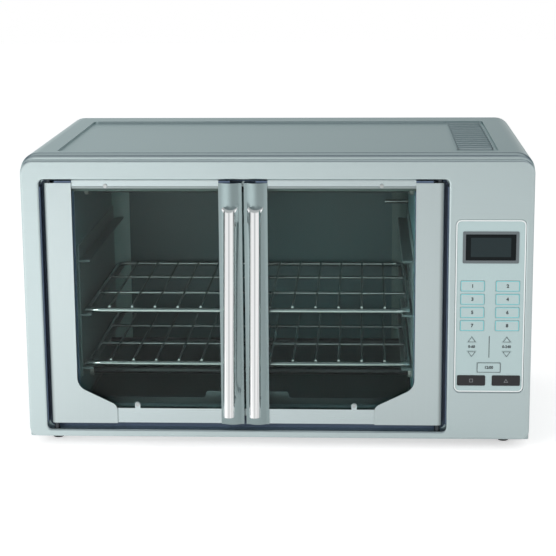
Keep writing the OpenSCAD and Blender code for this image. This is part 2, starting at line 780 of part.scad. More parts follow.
// A wire rack: a closed outer wire with round corners, fine wires welded on top of it from
// front to rear, and two cross wires under them.
module rack(z) {
    inset = sheet_t + rack_side_gap + rack_wire_r;
    x0 = cavity_x0 + inset;
    x1 = cavity_x1 - inset;
    y0 = rack_y0 + rack_wire_r;
    y1 = rack_y1 - rack_wire_r;
    r = 14;
    weld = 0.4;
    cross_r = 1.3 * rack_fine_r;
    fine_z = rack_wire_r + rack_fine_r - weld;
    pitch = (x1 - x0) / (rack_wire_count + 1);
    translate([0, 0, z]) {
        for (y = [y0, y1]) bar_x([x0 + r, y, 0], rack_wire_r, x1 - x0 - 2 * r);
        for (x = [x0, x1]) bar_y([x, y0 + r, 0], rack_wire_r, y1 - y0 - 2 * r);
        for (c = [[x0 + r, y0 + r, 180], [x1 - r, y0 + r, 270], [x1 - r, y1 - r, 0],
                [x0 + r, y1 - r, 90]])
            translate([c[0], c[1], 0]) rotate([0, 0, c[2]])
                rotate_extrude(angle = 90) translate([r, 0]) circle(rack_wire_r);
        for (i = [1:rack_wire_count])
            bar_y([x0 + i * pitch, y0, fine_z], rack_fine_r, y1 - y0);
        for (s = [1 / 3, 2 / 3])
            bar_x([x0, y0 + s * (y1 - y0), fine_z - rack_fine_r - cross_r + weld],
                cross_r, x1 - x0);
    }
}

module upper_rack() { color("silver") in_case() rack(level(1)); }
module lower_rack() { color("silver") in_case() rack(level(0)); }

module crumb_tray() {
    side_gap = 2;
    x0 = cavity_x0 + side_gap;
    x1 = cavity_x1 - side_gap;
    z0 = cavity_z0 + wire_drop;
    t = 0.8;
    y1 = rack_y1;
    wall_h = 5;
    curve_r = (tray_tab_h - tray_lip_h) / 2;
    color("gray") in_case() {
        difference() {
            block([x0, rack_y0, z0], [x1, y1, z0 + wall_h]);
            block([x0 + t, rack_y0 + t, z0 + t], [x1 - t, y1 - t, z0 + wall_h + cut]);
        }
        slab(rack_y0, t) translate([0, z0]) {
            translate([x0, 0]) square([x1 - x0, tray_lip_h]);
            translate([recess_mid - tray_tab_w / 2, 0]) square([tray_tab_w, tray_tab_h - curve_r]);
            translate([recess_mid - tray_tab_w / 2 + curve_r, 0])
                square([tray_tab_w - 2 * curve_r, tray_tab_h]);
            for (s = [-1, 1]) translate([recess_mid + s * (tray_tab_w / 2 - curve_r),
                tray_tab_h - curve_r]) circle(curve_r);
            for (s = [-1, 1]) difference() {
                translate([recess_mid + s * (tray_tab_w / 2 + curve_r / 2) - curve_r / 2, tray_lip_h])
                    square([curve_r, curve_r]);
                translate([recess_mid + s * (tray_tab_w / 2 + curve_r), tray_lip_h + curve_r])
                    circle(curve_r);
            }
        }
    }
}

// Two sheathed rods with a thin terminal stud at each end.
module element_rods(z) {
    stud_len = 8;
    for (y = element_ys) {
        bar_x([cavity_x0 - element_tail, y, z], element_r, cavity_w + 2 * element_tail);
        bar_x([cavity_x0 - element_tail - stud_len, y, z], element_r / 3,
            cavity_w + 2 * (element_tail + stud_len));
    }
}

module upper_elements() { color("darkgray") in_case() element_rods(cavity_z1 - element_drop); }
module lower_elements() { color("darkgray") in_case() element_rods(cavity_z0 + element_rise); }

// Places every rod end at its liner wall, turned so that +x leads out of the cavity.
module element_ends() {
    for (y = element_ys, z = [cavity_z0 + element_rise, cavity_z1 - element_drop]) {
        translate([cavity_x1, y, z]) children();
        translate([cavity_x0, y, z]) mirror([1, 0, 0]) children();
    }
}

module element_insulators() {
    nose = 4;
    flange_t = 3;
    color("white") in_case() element_ends() difference() {
        union() {
            bar_x([-nose, 0, 0], insulator_r - 0.1, nose + element_tail - 6);
            bar_x([sheet_t, 0, 0], insulator_r + 2.5, flange_t);
        }
        bar_x([-element_tail, 0, 0], element_r + 0.05, 3 * element_tail);
    }
}

module temperature_probe() {
    flange_t = 3;
    color("silver") in_case() translate([cavity_x1, probe_y, probe_z]) {
        bar_x([-probe_reach, 0, 0], probe_r, probe_reach + sheet_t + cut);
        bar_x([sheet_t, 0, 0], 2 * probe_r, flange_t);
    }
}

// ---------------------------------------------------------------- convection fan

fan_grille_r = fan_open_r + 8;

// A stamped grille: a rim that overlaps the opening, rings, spokes and a round middle.
module fan_grille() {
    t = 1.2;
    middle_r = 6;
    rim_r = fan_open_r - 1;
    color("gray") in_case() translate([cavity_x1 - t, fan_y, fan_z]) {
        for (r = [middle_r + grille_pitch:grille_pitch:rim_r - grille_bar])
            grille_ring(r - grille_bar / 2, r + grille_bar / 2, t);
        grille_ring(rim_r, fan_grille_r, t);
        bar_x([0, 0, 0], middle_r, t);
        for (a = [0:45:315]) rotate([a, 0, 0])
            block([0, -grille_bar / 2, middle_r - 1], [t, grille_bar / 2, rim_r + 1]);
    }
}

module grille_ring(r0, r1, t) {
    difference() {
        bar_x([0, 0, 0], r1, t);
        bar_x([-cut, 0, 0], r0, t + 2 * cut);
    }
}

module fan_housing() {
    r = fan_open_r + 6;
    flange = 8;
    color("silver") in_case() translate([fan_x, fan_y, fan_z]) difference() {
        union() {
            bar_x([0, 0, 0], r, fan_housing_d);
            bar_x([0, 0, 0], r + flange, sheet_t);
        }
        bar_x([-cut, 0, 0], r - sheet_t, cut + fan_housing_d - sheet_t);
        bar_x([0, 0, 0], shaft_r + 2, fan_housing_d + cut);
    }
}

motor_x = fan_housing_d + 8;     // from the cavity wall to the motor's front
fan_start = 4;                   // from the cavity wall to the fan's hub

// A fan of stamped blades that stand on a back plate, with its hub and shaft.
module convection_fan() {
    hub_len = 14;
    hub_r = 8;
    blade_t = 1.2;
    plate_x = hub_len - 2;
    shaft_end = motor_x + 6 - fan_start;
    color("gray") in_case() translate([fan_x + fan_start, fan_y, fan_z]) {
        bar_x([0, 0, 0], hub_r, hub_len);
        bar_x([plate_x, 0, 0], fan_r - 2, 1);
        bar_x([plate_x + 1, 0, 0], shaft_r, shaft_end - plate_x - 1);
        for (i = [0:fan_blades - 1]) rotate([i * 360 / fan_blades, 0, 0])
            block([1, -blade_t / 2, hub_r - 2], [plate_x + 0.5, blade_t / 2, fan_r]);
    }
}

// A round motor with end bosses, on four spacers against the fan housing.
module fan_motor() {
    boss_r = 9;
    boss_t = 3;
    spacer_r = 2.5;
    color("dimgray") in_case() translate([fan_x, fan_y, fan_z]) {
        difference() {
            union() {
                bar_x([motor_x, 0, 0], motor_r, motor_len);
                bar_x([motor_x - boss_t, 0, 0], boss_r, motor_len + 2 * boss_t);
            }
            bar_x([motor_x - boss_t - cut, 0, 0], shaft_r + running_gap, 4 * boss_t + cut);
        }
        for (a = [45:90:315]) rotate([a, 0, 0])
            bar_x([fan_housing_d, motor_r - 2 * spacer_r, 0], spacer_r, motor_x - fan_housing_d);
    }
}

// ---------------------------------------------------------------- control panel

module panel_outline(grow) {
    round_rect(panel_x - panel_w / 2 - grow, panel_z0 - grow, panel_x + panel_w / 2 + grow,
        panel_z1 + grow, panel_r + grow, panel_r + grow);
}

module control_panel() {
    color("lightsteelblue") in_case() difference() {
        union() {
            slab(panel_inset, panel_back - panel_flange_t - panel_inset) panel_outline(-part_gap);
            slab(panel_back - panel_flange_t, panel_flange_t) panel_outline(panel_flange);
            for (x = [-1, 1], z = [panel_z0 + stud_inset, panel_z1 - stud_inset])
                bar_y([panel_x + x * (panel_w / 2 - 2 * stud_inset), panel_back - 0.5, z], stud_r,
                    board_y - panel_back + 0.5);
        }
        for (k = all_keys())
            key_place(k) slab(panel_inset - cut, panel_t + 2 * cut) key_outline(k, key_gap);
        translate([panel_x, 0, display_z]) slab(panel_inset - cut, panel_t + 2 * cut)
            centred(bezel_w - bezel_lip, bezel_h - bezel_lip, 1);
    }
}

module centred(w, h, r) { round_rect(-w / 2, -h / 2, w / 2, h / 2, r, r); }

// Each key: column (-1, 0 or 1), height, outline kind, width and height.
function function_keys() = [for (row = [0:3], c = [-1, 1]) [c, key_rows[row], "box", key_w, key_h]];
function arrow_keys() = [
    [-1, arrow_up_z, "up", arrow_w, arrow_h],
    [-1, arrow_down_z, "down", arrow_w, arrow_h],
    [1, arrow_up_z, "up", arrow_w, arrow_h],
    [1, arrow_down_z, "down", arrow_w, arrow_h]
];
function lower_keys() = [
    [0, clock_z, "box", key_w, clock_h],
    [-1, black_z, "box", black_key_w, clock_h],
    [1, black_z, "box", black_key_w, clock_h]
];
function all_keys() = concat(function_keys(), arrow_keys(), lower_keys());

module key_place(k) { translate([panel_x + k[0] * key_column, 0, k[1]]) children(); }

// A key's outline, grown by the given margin.
module key_outline(k, grow) {
    w = k[3] + 2 * grow;
    h = k[4] + 2 * grow;
    if (k[2] == "box") centred(w, h, 1.5);
    else polygon(k[2] == "up" ? [[-w / 2, -h / 2], [w / 2, -h / 2], [0, h / 2]]
        : [[-w / 2, h / 2], [0, -h / 2], [w / 2, h / 2]]);
}

key_flange = 1;
plunger_r = 1.5;

// A key cap with a flange behind the panel and a plunger towards its switch.
module key(k) {
    in_case() key_place(k) {
        slab(key_face, panel_back + part_gap - key_face) key_outline(k, 0);
        slab(panel_back + part_gap, key_flange) key_outline(k, key_flange);
        bar_y([0, panel_back + key_flange / 2, key_drop(k)], plunger_r,
            plunger_end - panel_back - key_flange / 2);
    }
}

// An arrow's plunger sits at the middle of its area, a third of the way up from its base.
function key_drop(k) = k[2] == "up" ? -k[4] / 6 : k[2] == "down" ? k[4] / 6 : 0;

module function_key(i) { color("white") key(function_keys()[i]); }
module arrow_key(i) { color("whitesmoke") key(arrow_keys()[i]); }

bezel_lip = 2;           // how much wider the bezel is than its opening
window_w = bezel_w - 2 * bezel_rim;
window_h = bezel_h - 2 * bezel_rim;
window_t = 2;

module display_bezel() {
    color("gray") in_case() translate([panel_x, 0, display_z]) difference() {
        union() {
            slab(key_face, key_proud) centred(bezel_w, bezel_h, 1.5);
            slab(panel_inset, panel_t) centred(bezel_w - bezel_lip - 2 * part_gap,
                bezel_h - bezel_lip - 2 * part_gap, 1);
        }
        slab(key_face - cut, key_proud + panel_t + 2 * cut) centred(window_w, window_h, 0.5);
    }
}

module display_window() {
    color("black") in_case() translate([panel_x, panel_inset, display_z])
        slab(0, window_t) centred(window_w - part_gap, window_h - part_gap, 0.4);
}

// The display behind its window, with the block that carries it on the control board.
module display_module() {
    y = panel_inset + window_t;
    module_t = 4;
    edge = 2;
    color("darkgreen") in_case() translate([panel_x, y, display_z]) {
        slab(0, module_t) centred(window_w - edge, window_h - edge, 0.4);
        slab(module_t - 1, board_y - y - module_t + 1) centred(window_w * 2 / 3, window_h / 2, 0.4);
    }
}

module control_board() {
    edge = 2;
    switch_w = 5;
    color("darkgreen") in_case() {
        slab(board_y, board_t) round_rect(panel_x - panel_w / 2 + edge, panel_z0 + edge,
            panel_x + panel_w / 2 - edge, panel_z1 - edge, 2, 2);
        for (k = all_keys()) key_place(k) slab(board_y - switch_h, switch_h)
            translate([0, key_drop(k)]) square(switch_w, center = true);
    }
}

// A board on four posts, with a transformer, two relays and two round capacitors.
module power_board() {
    length = 105;
    cavity_gap = 22;
    side_gap = 11;
    x0 = cavity_x1 + sheet_t + cavity_gap;
    x1 = half_w - sheet_t - side_gap;
    y0 = fan_y - length - 5;
    y1 = y0 + length;
    z = 12;
    post_inset = 6;
    transformer = [32, 28, 25];
    relay = [18, 18, 15];
    edge = 10;
    relay_x = x1 - edge - relay[0];
    color("darkgreen") in_case() {
        block([x0, y0, z], [x1, y1, z + board_t]);
        for (x = [x0 + post_inset, x1 - post_inset], y = [y0 + post_inset, y1 - post_inset])
            bar_z([x, y, sheet_t], 3, z - sheet_t);
        translate([x0 + edge, y0 + edge, z + board_t]) cube(transformer);
        for (i = [0, 1])
            translate([relay_x, y0 + edge + i * 1.5 * relay[1], z + board_t]) cube(relay);
        bar_z([x0 + 2 * edge, y1 - 4 * edge, z], 8, 22);
        bar_z([x0 + 4 * edge, y1 - 2.5 * edge, z], 6, 16);
    }
}

// ---------------------------------------------------------------- doors

// The left door's pieces; the right door repeats them across the recess.

module door_glass() {
    slab(glass_y, glass_t) difference() {
        translate([door_x0 + edge_block_w, glass_z0])
            square([door_w - 2 * edge_block_w, glass_z1 - glass_z0]);
        translate([door_x0 + foot_screw_side, foot_screw_z]) circle(screw_shank_r + 0.4);
        translate([door_x0 + top_screw_side, top_screw_z]) circle(screw_shank_r + 0.4);
    }
}

screw_hole_r = screw_shank_r + 0.1;
lug_r = door_screw_r + 0.8;

// Channels over and under the glass. The lower one has a lug for its screw.
module door_rails() {
    x0 = door_x0 + edge_block_w;
    len = door_w - 2 * edge_block_w;
    module channel(z0, z1, grip_z0, grip_z1) {
        difference() {
            slab(trim_t, door_t - trim_t) translate([x0, z0]) square([len, z1 - z0]);
            slab(glass_y, glass_t) translate([x0 - cut, grip_z0])
                square([len + 2 * cut, grip_z1 - grip_z0]);
            bar_y([door_x0 + top_screw_side, 0, top_screw_z], screw_hole_r, door_t + cut);
        }
    }
    channel(door_z0, door_z0 + foot_rail_h, glass_z0, door_z1);
    channel(rail_z1 - top_rail_h, rail_z1, door_z0, glass_z1);
    difference() {
        union() {
            bar_y([door_x0 + foot_screw_side, trim_t, foot_screw_z], lug_r, glass_y - trim_t);
            slab(trim_t, glass_y - trim_t) translate([door_x0 + foot_screw_side - lug_r,
                door_z0 + foot_rail_h - 1]) square([2 * lug_r, foot_screw_rise + 1]);
        }
        bar_y([door_x0 + foot_screw_side, 0, foot_screw_z], screw_hole_r, door_t);
    }
}

module door_screws() {
    head_t = 1.6;
    for (p = [[top_screw_side, top_screw_z], [foot_screw_side, foot_screw_z]])
        translate([door_x0 + p[0], 0, p[1]]) {
            bar_y([0, trim_t - head_t, 0], door_screw_r, head_t);
            bar_y([0, trim_t - head_t / 2, 0], screw_shank_r, door_t - trim_t);
        }
}

// Points on a circular arc, in degrees, from one angle to another.
function arc(x, z, r, a0, a1) = [for (i = [0:8]) let (a = a0 + (a1 - a0) * i / 8)
    [x + r * cos(a), z + r * sin(a)]];

// The trim's outline: a column that spreads into a foot along an S-shaped edge.
module trim_outline() {
    slope = 26;
    column_x = door_x0 + trim_w;
    foot_x = door_x0 + trim_foot_w;
    inner_r = 16;
    outer_r = 9;
    // The sloping stretch leaves the column's arc and runs tangent to the foot's arc.
    outer_z = door_z0 + trim_foot_end_h;
    outer_x = foot_x - outer_r;
    inner_x = column_x + inner_r;
    rise = tan(slope) * (outer_x - inner_x) + (inner_r + outer_r) / cos(slope);
    polygon(concat(
        [[door_x0 + pivot_r, door_z0], [foot_x, door_z0]],
        arc(outer_x, outer_z, outer_r, 0, 90 - slope),
        arc(inner_x, outer_z + rise, inner_r, 270 - slope, 180),
        [[column_x, door_z1], [door_x0 + pivot_r, door_z1]]));
}

pin_depth = 24;          // how far the pins reach into the trim

module hinge_trim() {
    difference() {
        union() {
            bar_z([pivot_x, pivot_y, door_z0], pivot_r, door_z1 - door_z0);
            block([pivot_x, 0, door_z0], [door_x0 + edge_block_w, door_t, door_z1]);
            slab(0, trim_t) trim_outline();
        }
        bar_z([pivot_x, pivot_y, door_z0 - cut], pin_r, cut + pin_depth + 1);
        bar_z([pivot_x, pivot_y, door_z1 - pin_depth - 1], pin_r, pin_depth + 1 + cut);
    }
}

module handle_stile() {
    x1 = door_x0 + door_w;
    x0 = x1 - stile_w;
    mid = (x0 + x1) / 2;
    block([x0, 0, door_z0], [x1, trim_t, door_z1]);
    block([x1 - edge_block_w, 0, door_z0], [x1, door_t, door_z1]);
    intersection() {
        bar_z([mid, bulge_radius - stile_bulge, door_z0], bulge_radius, door_z1 - door_z0);
        block([x0, -stile_bulge - cut, door_z0], [x1, trim_t, door_z1]);
    }
}

// A round bar that leans out towards its lower end, on an arm below and a flared foot above.
module handle() {
    x = door_x0 + door_w - stile_w / 2;
    z0 = door_z0 + handle_foot;
    z1 = door_z1 - handle_head;
    y0 = -handle_low_reach;
    y1 = -handle_high_reach;
    lean = atan((y1 - y0) / (z1 - z0));
    spare = 2 * handle_r;
    len = (z1 - z0) / cos(lean) + 2 * spare;
    arm_z = z0 + handle_arm_r + 2.5;
    far = handle_low_reach + spare;
    difference() {
        union() {
            translate([x, y0, z0]) rotate([-lean, 0, 0])
                translate([0, 0, -spare]) cylinder(r = handle_r, h = len);
            bar_y([x, y0, arm_z], handle_arm_r, -y0);
            slab(y1, -y1) handle_flare(x, z1);
        }
        block([x - far, -far, z0 - far], [x + far, far, z0]);
        block([x - far, -far, z1], [x + far, far, z1 + far]);
        // The upper end is hollow, between two tips.
        bar_y([x, -far, z1 + handle_hollow_r - handle_hollow_d], handle_hollow_r, 2 * far);
        // The arm and the flared foot end on the stile's rounded middle.
        bar_z([x, bulge_radius - stile_bulge, z0 - cut], bulge_radius, z1 - z0 + 2 * cut);
        block([x - far, 0, z0 - far], [x + far, far, z1 + far]);
    }
}

// The flared foot seen from the front: as wide as the bar, then spreading to its two tips.
module handle_flare(x, z1) {
    foot_z = z1 - 20;
    spread_z = z1 - 4;
    polygon([[x - handle_r, foot_z], [x + handle_r, foot_z], [x + handle_r, spread_z],
        [x + handle_flare_w / 2, z1], [x - handle_flare_w / 2, z1], [x - handle_r, spread_z]]);
}

// The upper pin, and the lower shaft with its crank and crank pin.
module hinge_shafts() {
    upper_z0 = door_z1 - pin_depth;
    bar_z([pivot_x, pivot_y, upper_z0], pin_r - shaft_gap, bracket_top_z + pin_r - upper_z0);
    bar_z([pivot_x, pivot_y, crank_z], pin_r - shaft_gap, door_z0 + pin_depth - crank_z);
    translate([pivot_x, pivot_y, crank_z]) {
        bar_z([0, 0, 0], hub_r, link_t);
        rotate([0, 0, 90 + crank_start]) {
            block([0, -pin_r, 0], [crank_r, pin_r, link_t]);
            bar_z([crank_r, 0, 0], pin_r, link_t);
            bar_z([crank_r, 0, 0], link_pin_r, link_t + layer_gap + link_t);
        }
    }
}

bracket_top_z = recess_top + fascia_t;

// Plates that carry the pins, over the recess's ceiling and under its floor.
module hinge_brackets() {
    outer = 3 * pin_r;
    inner = 10 * pin_r;
    module bracket(z, t) {
        difference() {
            block([pivot_x - outer, recess_roll, z], [pivot_x + inner, recess_floor_y, z + t]);
            bar_z([pivot_x, pivot_y, z - cut], pin_r + running_gap - shaft_gap, t + 2 * cut);
        }
    }
    module pair() {
        bracket(bracket_top_z, 2);
        bracket(bracket_z, recess_sill - fascia_t - bracket_z);
    }
    color("gray") in_case() {
        pair();
        opposite() pair();
    }
}

// ---------------------------------------------------------------- door linkage

// The doors turn opposite ways, so each crank drives a bar of its own, and a rocker between
// the bars makes them slide opposite ways by the same distance.

crank_pin_x = pivot_x - crank_r * sin(crank_start);
crank_slot_y0 = pivot_y + crank_r * cos(crank_start) - link_pin_r - 0.5;
crank_slot_y1 = pivot_y + crank_r + link_pin_r + 0.5;
rocker_pin_dx = rocker_r * sin(rocker_start);
rocker_pin_dy = rocker_r * cos(rocker_start);

// A slot across a bar, from y0 to y1, around a pin at x.
module cross_slot(x, y0, y1, half) {
    block([x - half, y0, bar_z - cut], [x + half, y1, bar_z + link_t + cut]);
}

module left_sync_bar() {
    x0 = crank_pin_x - link_pin_r - link_rim;
    x1 = rocker_x - rocker_pin_dx + link_pin_r + link_rim;
    color("silver") in_case() difference() {
        block([x0, link_y, bar_z], [x1, link_y + bar_w, bar_z + link_t]);
        cross_slot(crank_pin_x, crank_slot_y0, crank_slot_y1, link_pin_r + crank_slot_gap);
        cross_slot(rocker_x - rocker_pin_dx, rocker_y - rocker_r - link_pin_r - 0.4,
            rocker_y - rocker_pin_dy + link_pin_r + 0.4, link_pin_r + rocker_slot_gap);
    }
}

module right_sync_bar() {
    crank_x = 2 * recess_mid - crank_pin_x;
    x1 = crank_x + link_pin_r + link_rim;
    leg_x = rocker_x + rocker_pin_dx + bar_travel + rocker_r;
    arm_x = rocker_x + rocker_pin_dx - link_pin_r - link_rim;
    arm_y0 = rocker_y + rocker_pin_dy - link_pin_r - link_rim - 1;
    arm_y1 = rocker_y + rocker_r + link_pin_r + link_rim + 1;
    z1 = bar_z + link_t;
    color("silver") in_case() difference() {
        union() {
            block([leg_x, link_y, bar_z], [x1, link_y + bar_w, z1]);
            block([leg_x, link_y, bar_z], [leg_x + bar_w, arm_y1, z1]);
            block([arm_x, arm_y0, bar_z], [leg_x + bar_w, arm_y1, z1]);
        }
        cross_slot(crank_x, crank_slot_y0, crank_slot_y1, link_pin_r + crank_slot_gap);
        cross_slot(rocker_x + rocker_pin_dx, rocker_y + rocker_pin_dy - link_pin_r - 0.4,
            rocker_y + rocker_r + link_pin_r + 0.4, link_pin_r + rocker_slot_gap);
    }
}

module sync_rocker() {
    color("goldenrod") in_case() translate([rocker_x, rocker_y, crank_z]) {
        difference() {
            union() {
                bar_z([0, 0, 0], pin_r + link_rim, link_t);
                rotate([0, 0, -rocker_start]) {
                    block([-link_rim, -rocker_r, 0], [link_rim, rocker_r, link_t]);
                    for (s = [-1, 1]) bar_z([0, s * rocker_r, 0], link_rim, link_t);
                }
            }
            bar_z([0, 0, -cut], pin_r + running_gap, link_t + 2 * cut);
        }
        rotate([0, 0, -rocker_start]) for (s = [-1, 1])
            bar_z([0, s * rocker_r, 0], link_pin_r, link_t + layer_gap + link_t);
    }
}

// Guides for the bars, and the rocker's post with its shoulder and head.
module sync_guides() {
    guide_len = 16;
    wall = 2.5;
    end = 50;
    left_xs = [pivot_x + end, rocker_x - 4 * rocker_r];
    right_xs = [rocker_x + 5.5 * rocker_r, 2 * recess_mid - pivot_x - end];
    color("whitesmoke") in_case() {
        for (x = concat(left_xs, right_xs)) {
            block([x, link_y - guide_gap - wall, sheet_t],
                [x + guide_len, link_y + bar_w + guide_gap + wall, bar_z - layer_gap / 2]);
            for (y = [link_y - guide_gap - wall, link_y + bar_w + guide_gap])
                block([x, y, sheet_t], [x + guide_len, y + wall, bar_z + link_t]);
        }
        translate([rocker_x, rocker_y, 0]) {
            bar_z([0, 0, sheet_t], bearing_wall + 1, crank_z - rocker_float - sheet_t);
            bar_z([0, 0, sheet_t], pin_r, crank_z + link_t + rocker_float - sheet_t);
            bar_z([0, 0, crank_z + link_t + rocker_float], bearing_wall, 1);
        }
    }
}

// ---------------------------------------------------------------- left and right doors

module left_door_glass() { color("lightcyan", 0.4) in_case() door_glass(); }
module right_door_glass() { color("lightcyan", 0.4) in_case() opposite() door_glass(); }
module left_door_rails() { color("gainsboro") in_case() door_rails(); }
module right_door_rails() { color("gainsboro") in_case() opposite() door_rails(); }
module left_hinge_trim() { color("lightgray") in_case() hinge_trim(); }
module right_hinge_trim() { color("lightgray") in_case() opposite() hinge_trim(); }
module left_handle_stile() { color("lightgray") in_case() handle_stile(); }
module right_handle_stile() { color("lightgray") in_case() opposite() handle_stile(); }
module left_handle() { color("white") in_case() handle(); }
module right_handle() { color("white") in_case() opposite() handle(); }
module left_door_screws() { color("silver") in_case() door_screws(); }
module right_door_screws() { color("silver") in_case() opposite() door_screws(); }
module left_hinge_shafts() { color("gray") in_case() hinge_shafts(); }
module right_hinge_shafts() { color("gray") in_case() opposite() hinge_shafts(); }

front_fascia();
outer_wrap();
base_pan();
rear_cover();
feet();
case_screws();
cord_gland();
cavity_liner();
rack_guides();
upper_rack();
lower_rack();
crumb_tray();
upper_elements();
lower_elements();
element_insulators();
temperature_probe();
fan_grille();
fan_housing();
convection_fan();
fan_motor();
control_panel();
display_bezel();
display_window();
display_module();
control_board();
power_board();
function_key(0);  // function_key_1
function_key(1);  // function_key_2
function_key(2);  // function_key_3
function_key(3);  // function_key_4
function_key(4);  // function_key_5
function_key(5);  // function_key_6
function_key(6);  // function_key_7
function_key(7);  // function_key_8
arrow_key(0);  // time_up_key
arrow_key(1);  // time_down_key
arrow_key(2);  // heat_up_key
arrow_key(3);  // heat_down_key
color("whitesmoke") key(lower_keys()[0]);  // clock_key
color("black") key(lower_keys()[1]);  // stop_key
color("black") key(lower_keys()[2]);  // start_key
left_door_glass();
right_door_glass();
left_door_rails();
right_door_rails();
left_hinge_trim();
right_hinge_trim();
left_handle_stile();
right_handle_stile();
left_handle();
right_handle();
left_door_screws();
right_door_screws();
left_hinge_shafts();
right_hinge_shafts();
hinge_brackets();
left_sync_bar();
right_sync_bar();
sync_rocker();
sync_guides();
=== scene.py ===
# %% [markdown]
# # A countertop toaster oven
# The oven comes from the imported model: every solid is already at its real size and place. This
# script dresses it. It gives each piece a finish, adds the printed marks of the keypad and the
# small things that are thinner than the solids show, and sets up a plain photo studio.

# %% Load the oven
import math
import bpy
from mathutils import Matrix, Vector


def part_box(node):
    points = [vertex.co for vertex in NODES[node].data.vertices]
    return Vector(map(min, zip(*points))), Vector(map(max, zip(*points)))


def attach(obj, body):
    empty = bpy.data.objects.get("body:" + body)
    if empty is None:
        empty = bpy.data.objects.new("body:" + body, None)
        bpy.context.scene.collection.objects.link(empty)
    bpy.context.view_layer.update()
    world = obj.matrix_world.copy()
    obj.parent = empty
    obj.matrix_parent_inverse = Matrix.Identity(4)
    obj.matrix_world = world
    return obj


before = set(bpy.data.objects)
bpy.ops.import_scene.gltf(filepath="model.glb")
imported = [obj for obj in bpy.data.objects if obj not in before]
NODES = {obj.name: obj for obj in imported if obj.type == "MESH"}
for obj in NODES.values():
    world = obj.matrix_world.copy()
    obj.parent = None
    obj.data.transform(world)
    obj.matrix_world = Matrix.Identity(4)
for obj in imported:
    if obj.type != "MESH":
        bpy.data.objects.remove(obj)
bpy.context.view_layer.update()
MM = 0.001

# %% [markdown]
# ## Where things are
# The sheet-metal front is the datum: its lowest corner gives the plane of the face and the
# underside of the case. Everything that is placed is measured from there, so the script follows
# the solids when they change.

# %% Datum
FRONT_LOW, FRONT_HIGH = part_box("front_fascia")
FACE_Y = FRONT_LOW.y
CASE_Z = FRONT_LOW.z
CASE_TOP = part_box("outer_wrap")[1].z
HALF_W = FRONT_HIGH.x


def on_case(x, y, z):
    """A point given in millimetres from the middle of the face's lower edge."""
    return Vector((x * MM, FACE_Y + y * MM, CASE_Z + z * MM))


print("face at y =", round(FACE_Y, 4), "case underside at z =", round(CASE_Z, 4))

# %% [markdown]
# ## The camera
# A long lens from nearly two metres keeps the sides of the case almost parallel. The camera
# looks slightly down, so the top shows as a low strip, and stands a little right of the middle.
# A camera looks along its own -Z, with +Y up in the frame, so its matrix is made of three
# directions: right, up and backwards.

# %% Camera
CAMERA_PLACE = on_case(96.7, -1820.4, 584.1)
CAMERA_YAW = math.radians(2.983)
CAMERA_PITCH = math.radians(12.291)
CAMERA_ROLL = math.radians(0.451)
CAMERA_LENS = 108.14
CAMERA_SENSOR = 36
CAMERA_NEAR = 0.05


def camera_matrix(place, yaw, pitch, roll):
    """The camera's matrix, from its place and three angles."""
    forward = Vector((-math.sin(yaw) * math.cos(pitch), math.cos(yaw) * math.cos(pitch),
                      -math.sin(pitch)))
    level = forward.cross(Vector((0, 0, 1))).normalized()
    upright = level.cross(forward)
    right = level * math.cos(roll) - upright * math.sin(roll)
    up = level * math.sin(roll) + upright * math.cos(roll)
    matrix = Matrix((right, up, -forward)).transposed().to_4x4()
    matrix.translation = place
    return matrix


camera = bpy.data.objects.new("camera", bpy.data.cameras.new("camera"))
bpy.context.scene.collection.objects.link(camera)
camera.data.lens = CAMERA_LENS
camera.data.sensor_width = CAMERA_SENSOR
camera.data.clip_start = CAMERA_NEAR
camera.matrix_world = camera_matrix(CAMERA_PLACE, CAMERA_YAW, CAMERA_PITCH, CAMERA_ROLL)
bpy.context.scene.camera = camera
bpy.context.scene.view_settings.view_transform = "Standard"
print("camera at", [round(v, 3) for v in CAMERA_PLACE])

# %% [markdown]
# ## Node helpers
# Every finish is a small network of shader nodes. A network can be built by hand in the Shader
# Editor, or in code, which is chosen here because the same few steps come back in each finish.
# One helper adds a node with its inputs, and the short ones below it name what a node is used
# for, so that a finish reads like a recipe.

# %% Node helpers


def add_node(tree, kind, inputs=None, **settings):
    """Adds a node. An input's value is a plain value, or a socket that is linked to it."""
    made = tree.nodes.new(kind)
    for name, value in settings.items():
        setattr(made, name, value)
    for name, value in (inputs or {}).items():
        if isinstance(value, bpy.types.NodeSocket):
            tree.links.new(value, made.inputs[name])
        else:
            made.inputs[name].default_value = value
    return made


def coordinates(tree):
    """The sockets of a Texture Coordinate node."""
    return add_node(tree, "ShaderNodeTexCoord").outputs


def axes(tree, vector):
    """The X, Y and Z of a vector."""
    return add_node(tree, "ShaderNodeSeparateXYZ", {0: vector}).outputs


def maths(tree, operation, a, b=0.0):
    """One step of arithmetic."""
    return add_node(tree, "ShaderNodeMath", {0: a, 1: b}, operation=operation).outputs[0]


def map_range(tree, value, low, high, to_low, to_high):
    """Maps a value from one range to another, held at both ends."""
    inputs = {0: value, 1: low, 2: high, 3: to_low, 4: to_high}
    return add_node(tree, "ShaderNodeMapRange", inputs).outputs[0]


def scale_colour(tree, colour, scale):
    """Makes a colour lighter or darker by a factor."""
    return add_node(tree, "ShaderNodeVectorMath", {0: colour, "Scale": scale},
                    operation="SCALE").outputs[0]


def mix_colours(tree, factor, a, b):
    """Mixes two colours, each given as three numbers or as a socket."""
    inputs = {0: factor}
    for place, value in ((6, a), (7, b)):
        inputs[place] = (*value, 1) if isinstance(value, tuple) else value
    return add_node(tree, "ShaderNodeMix", inputs, data_type="RGBA").outputs[2]


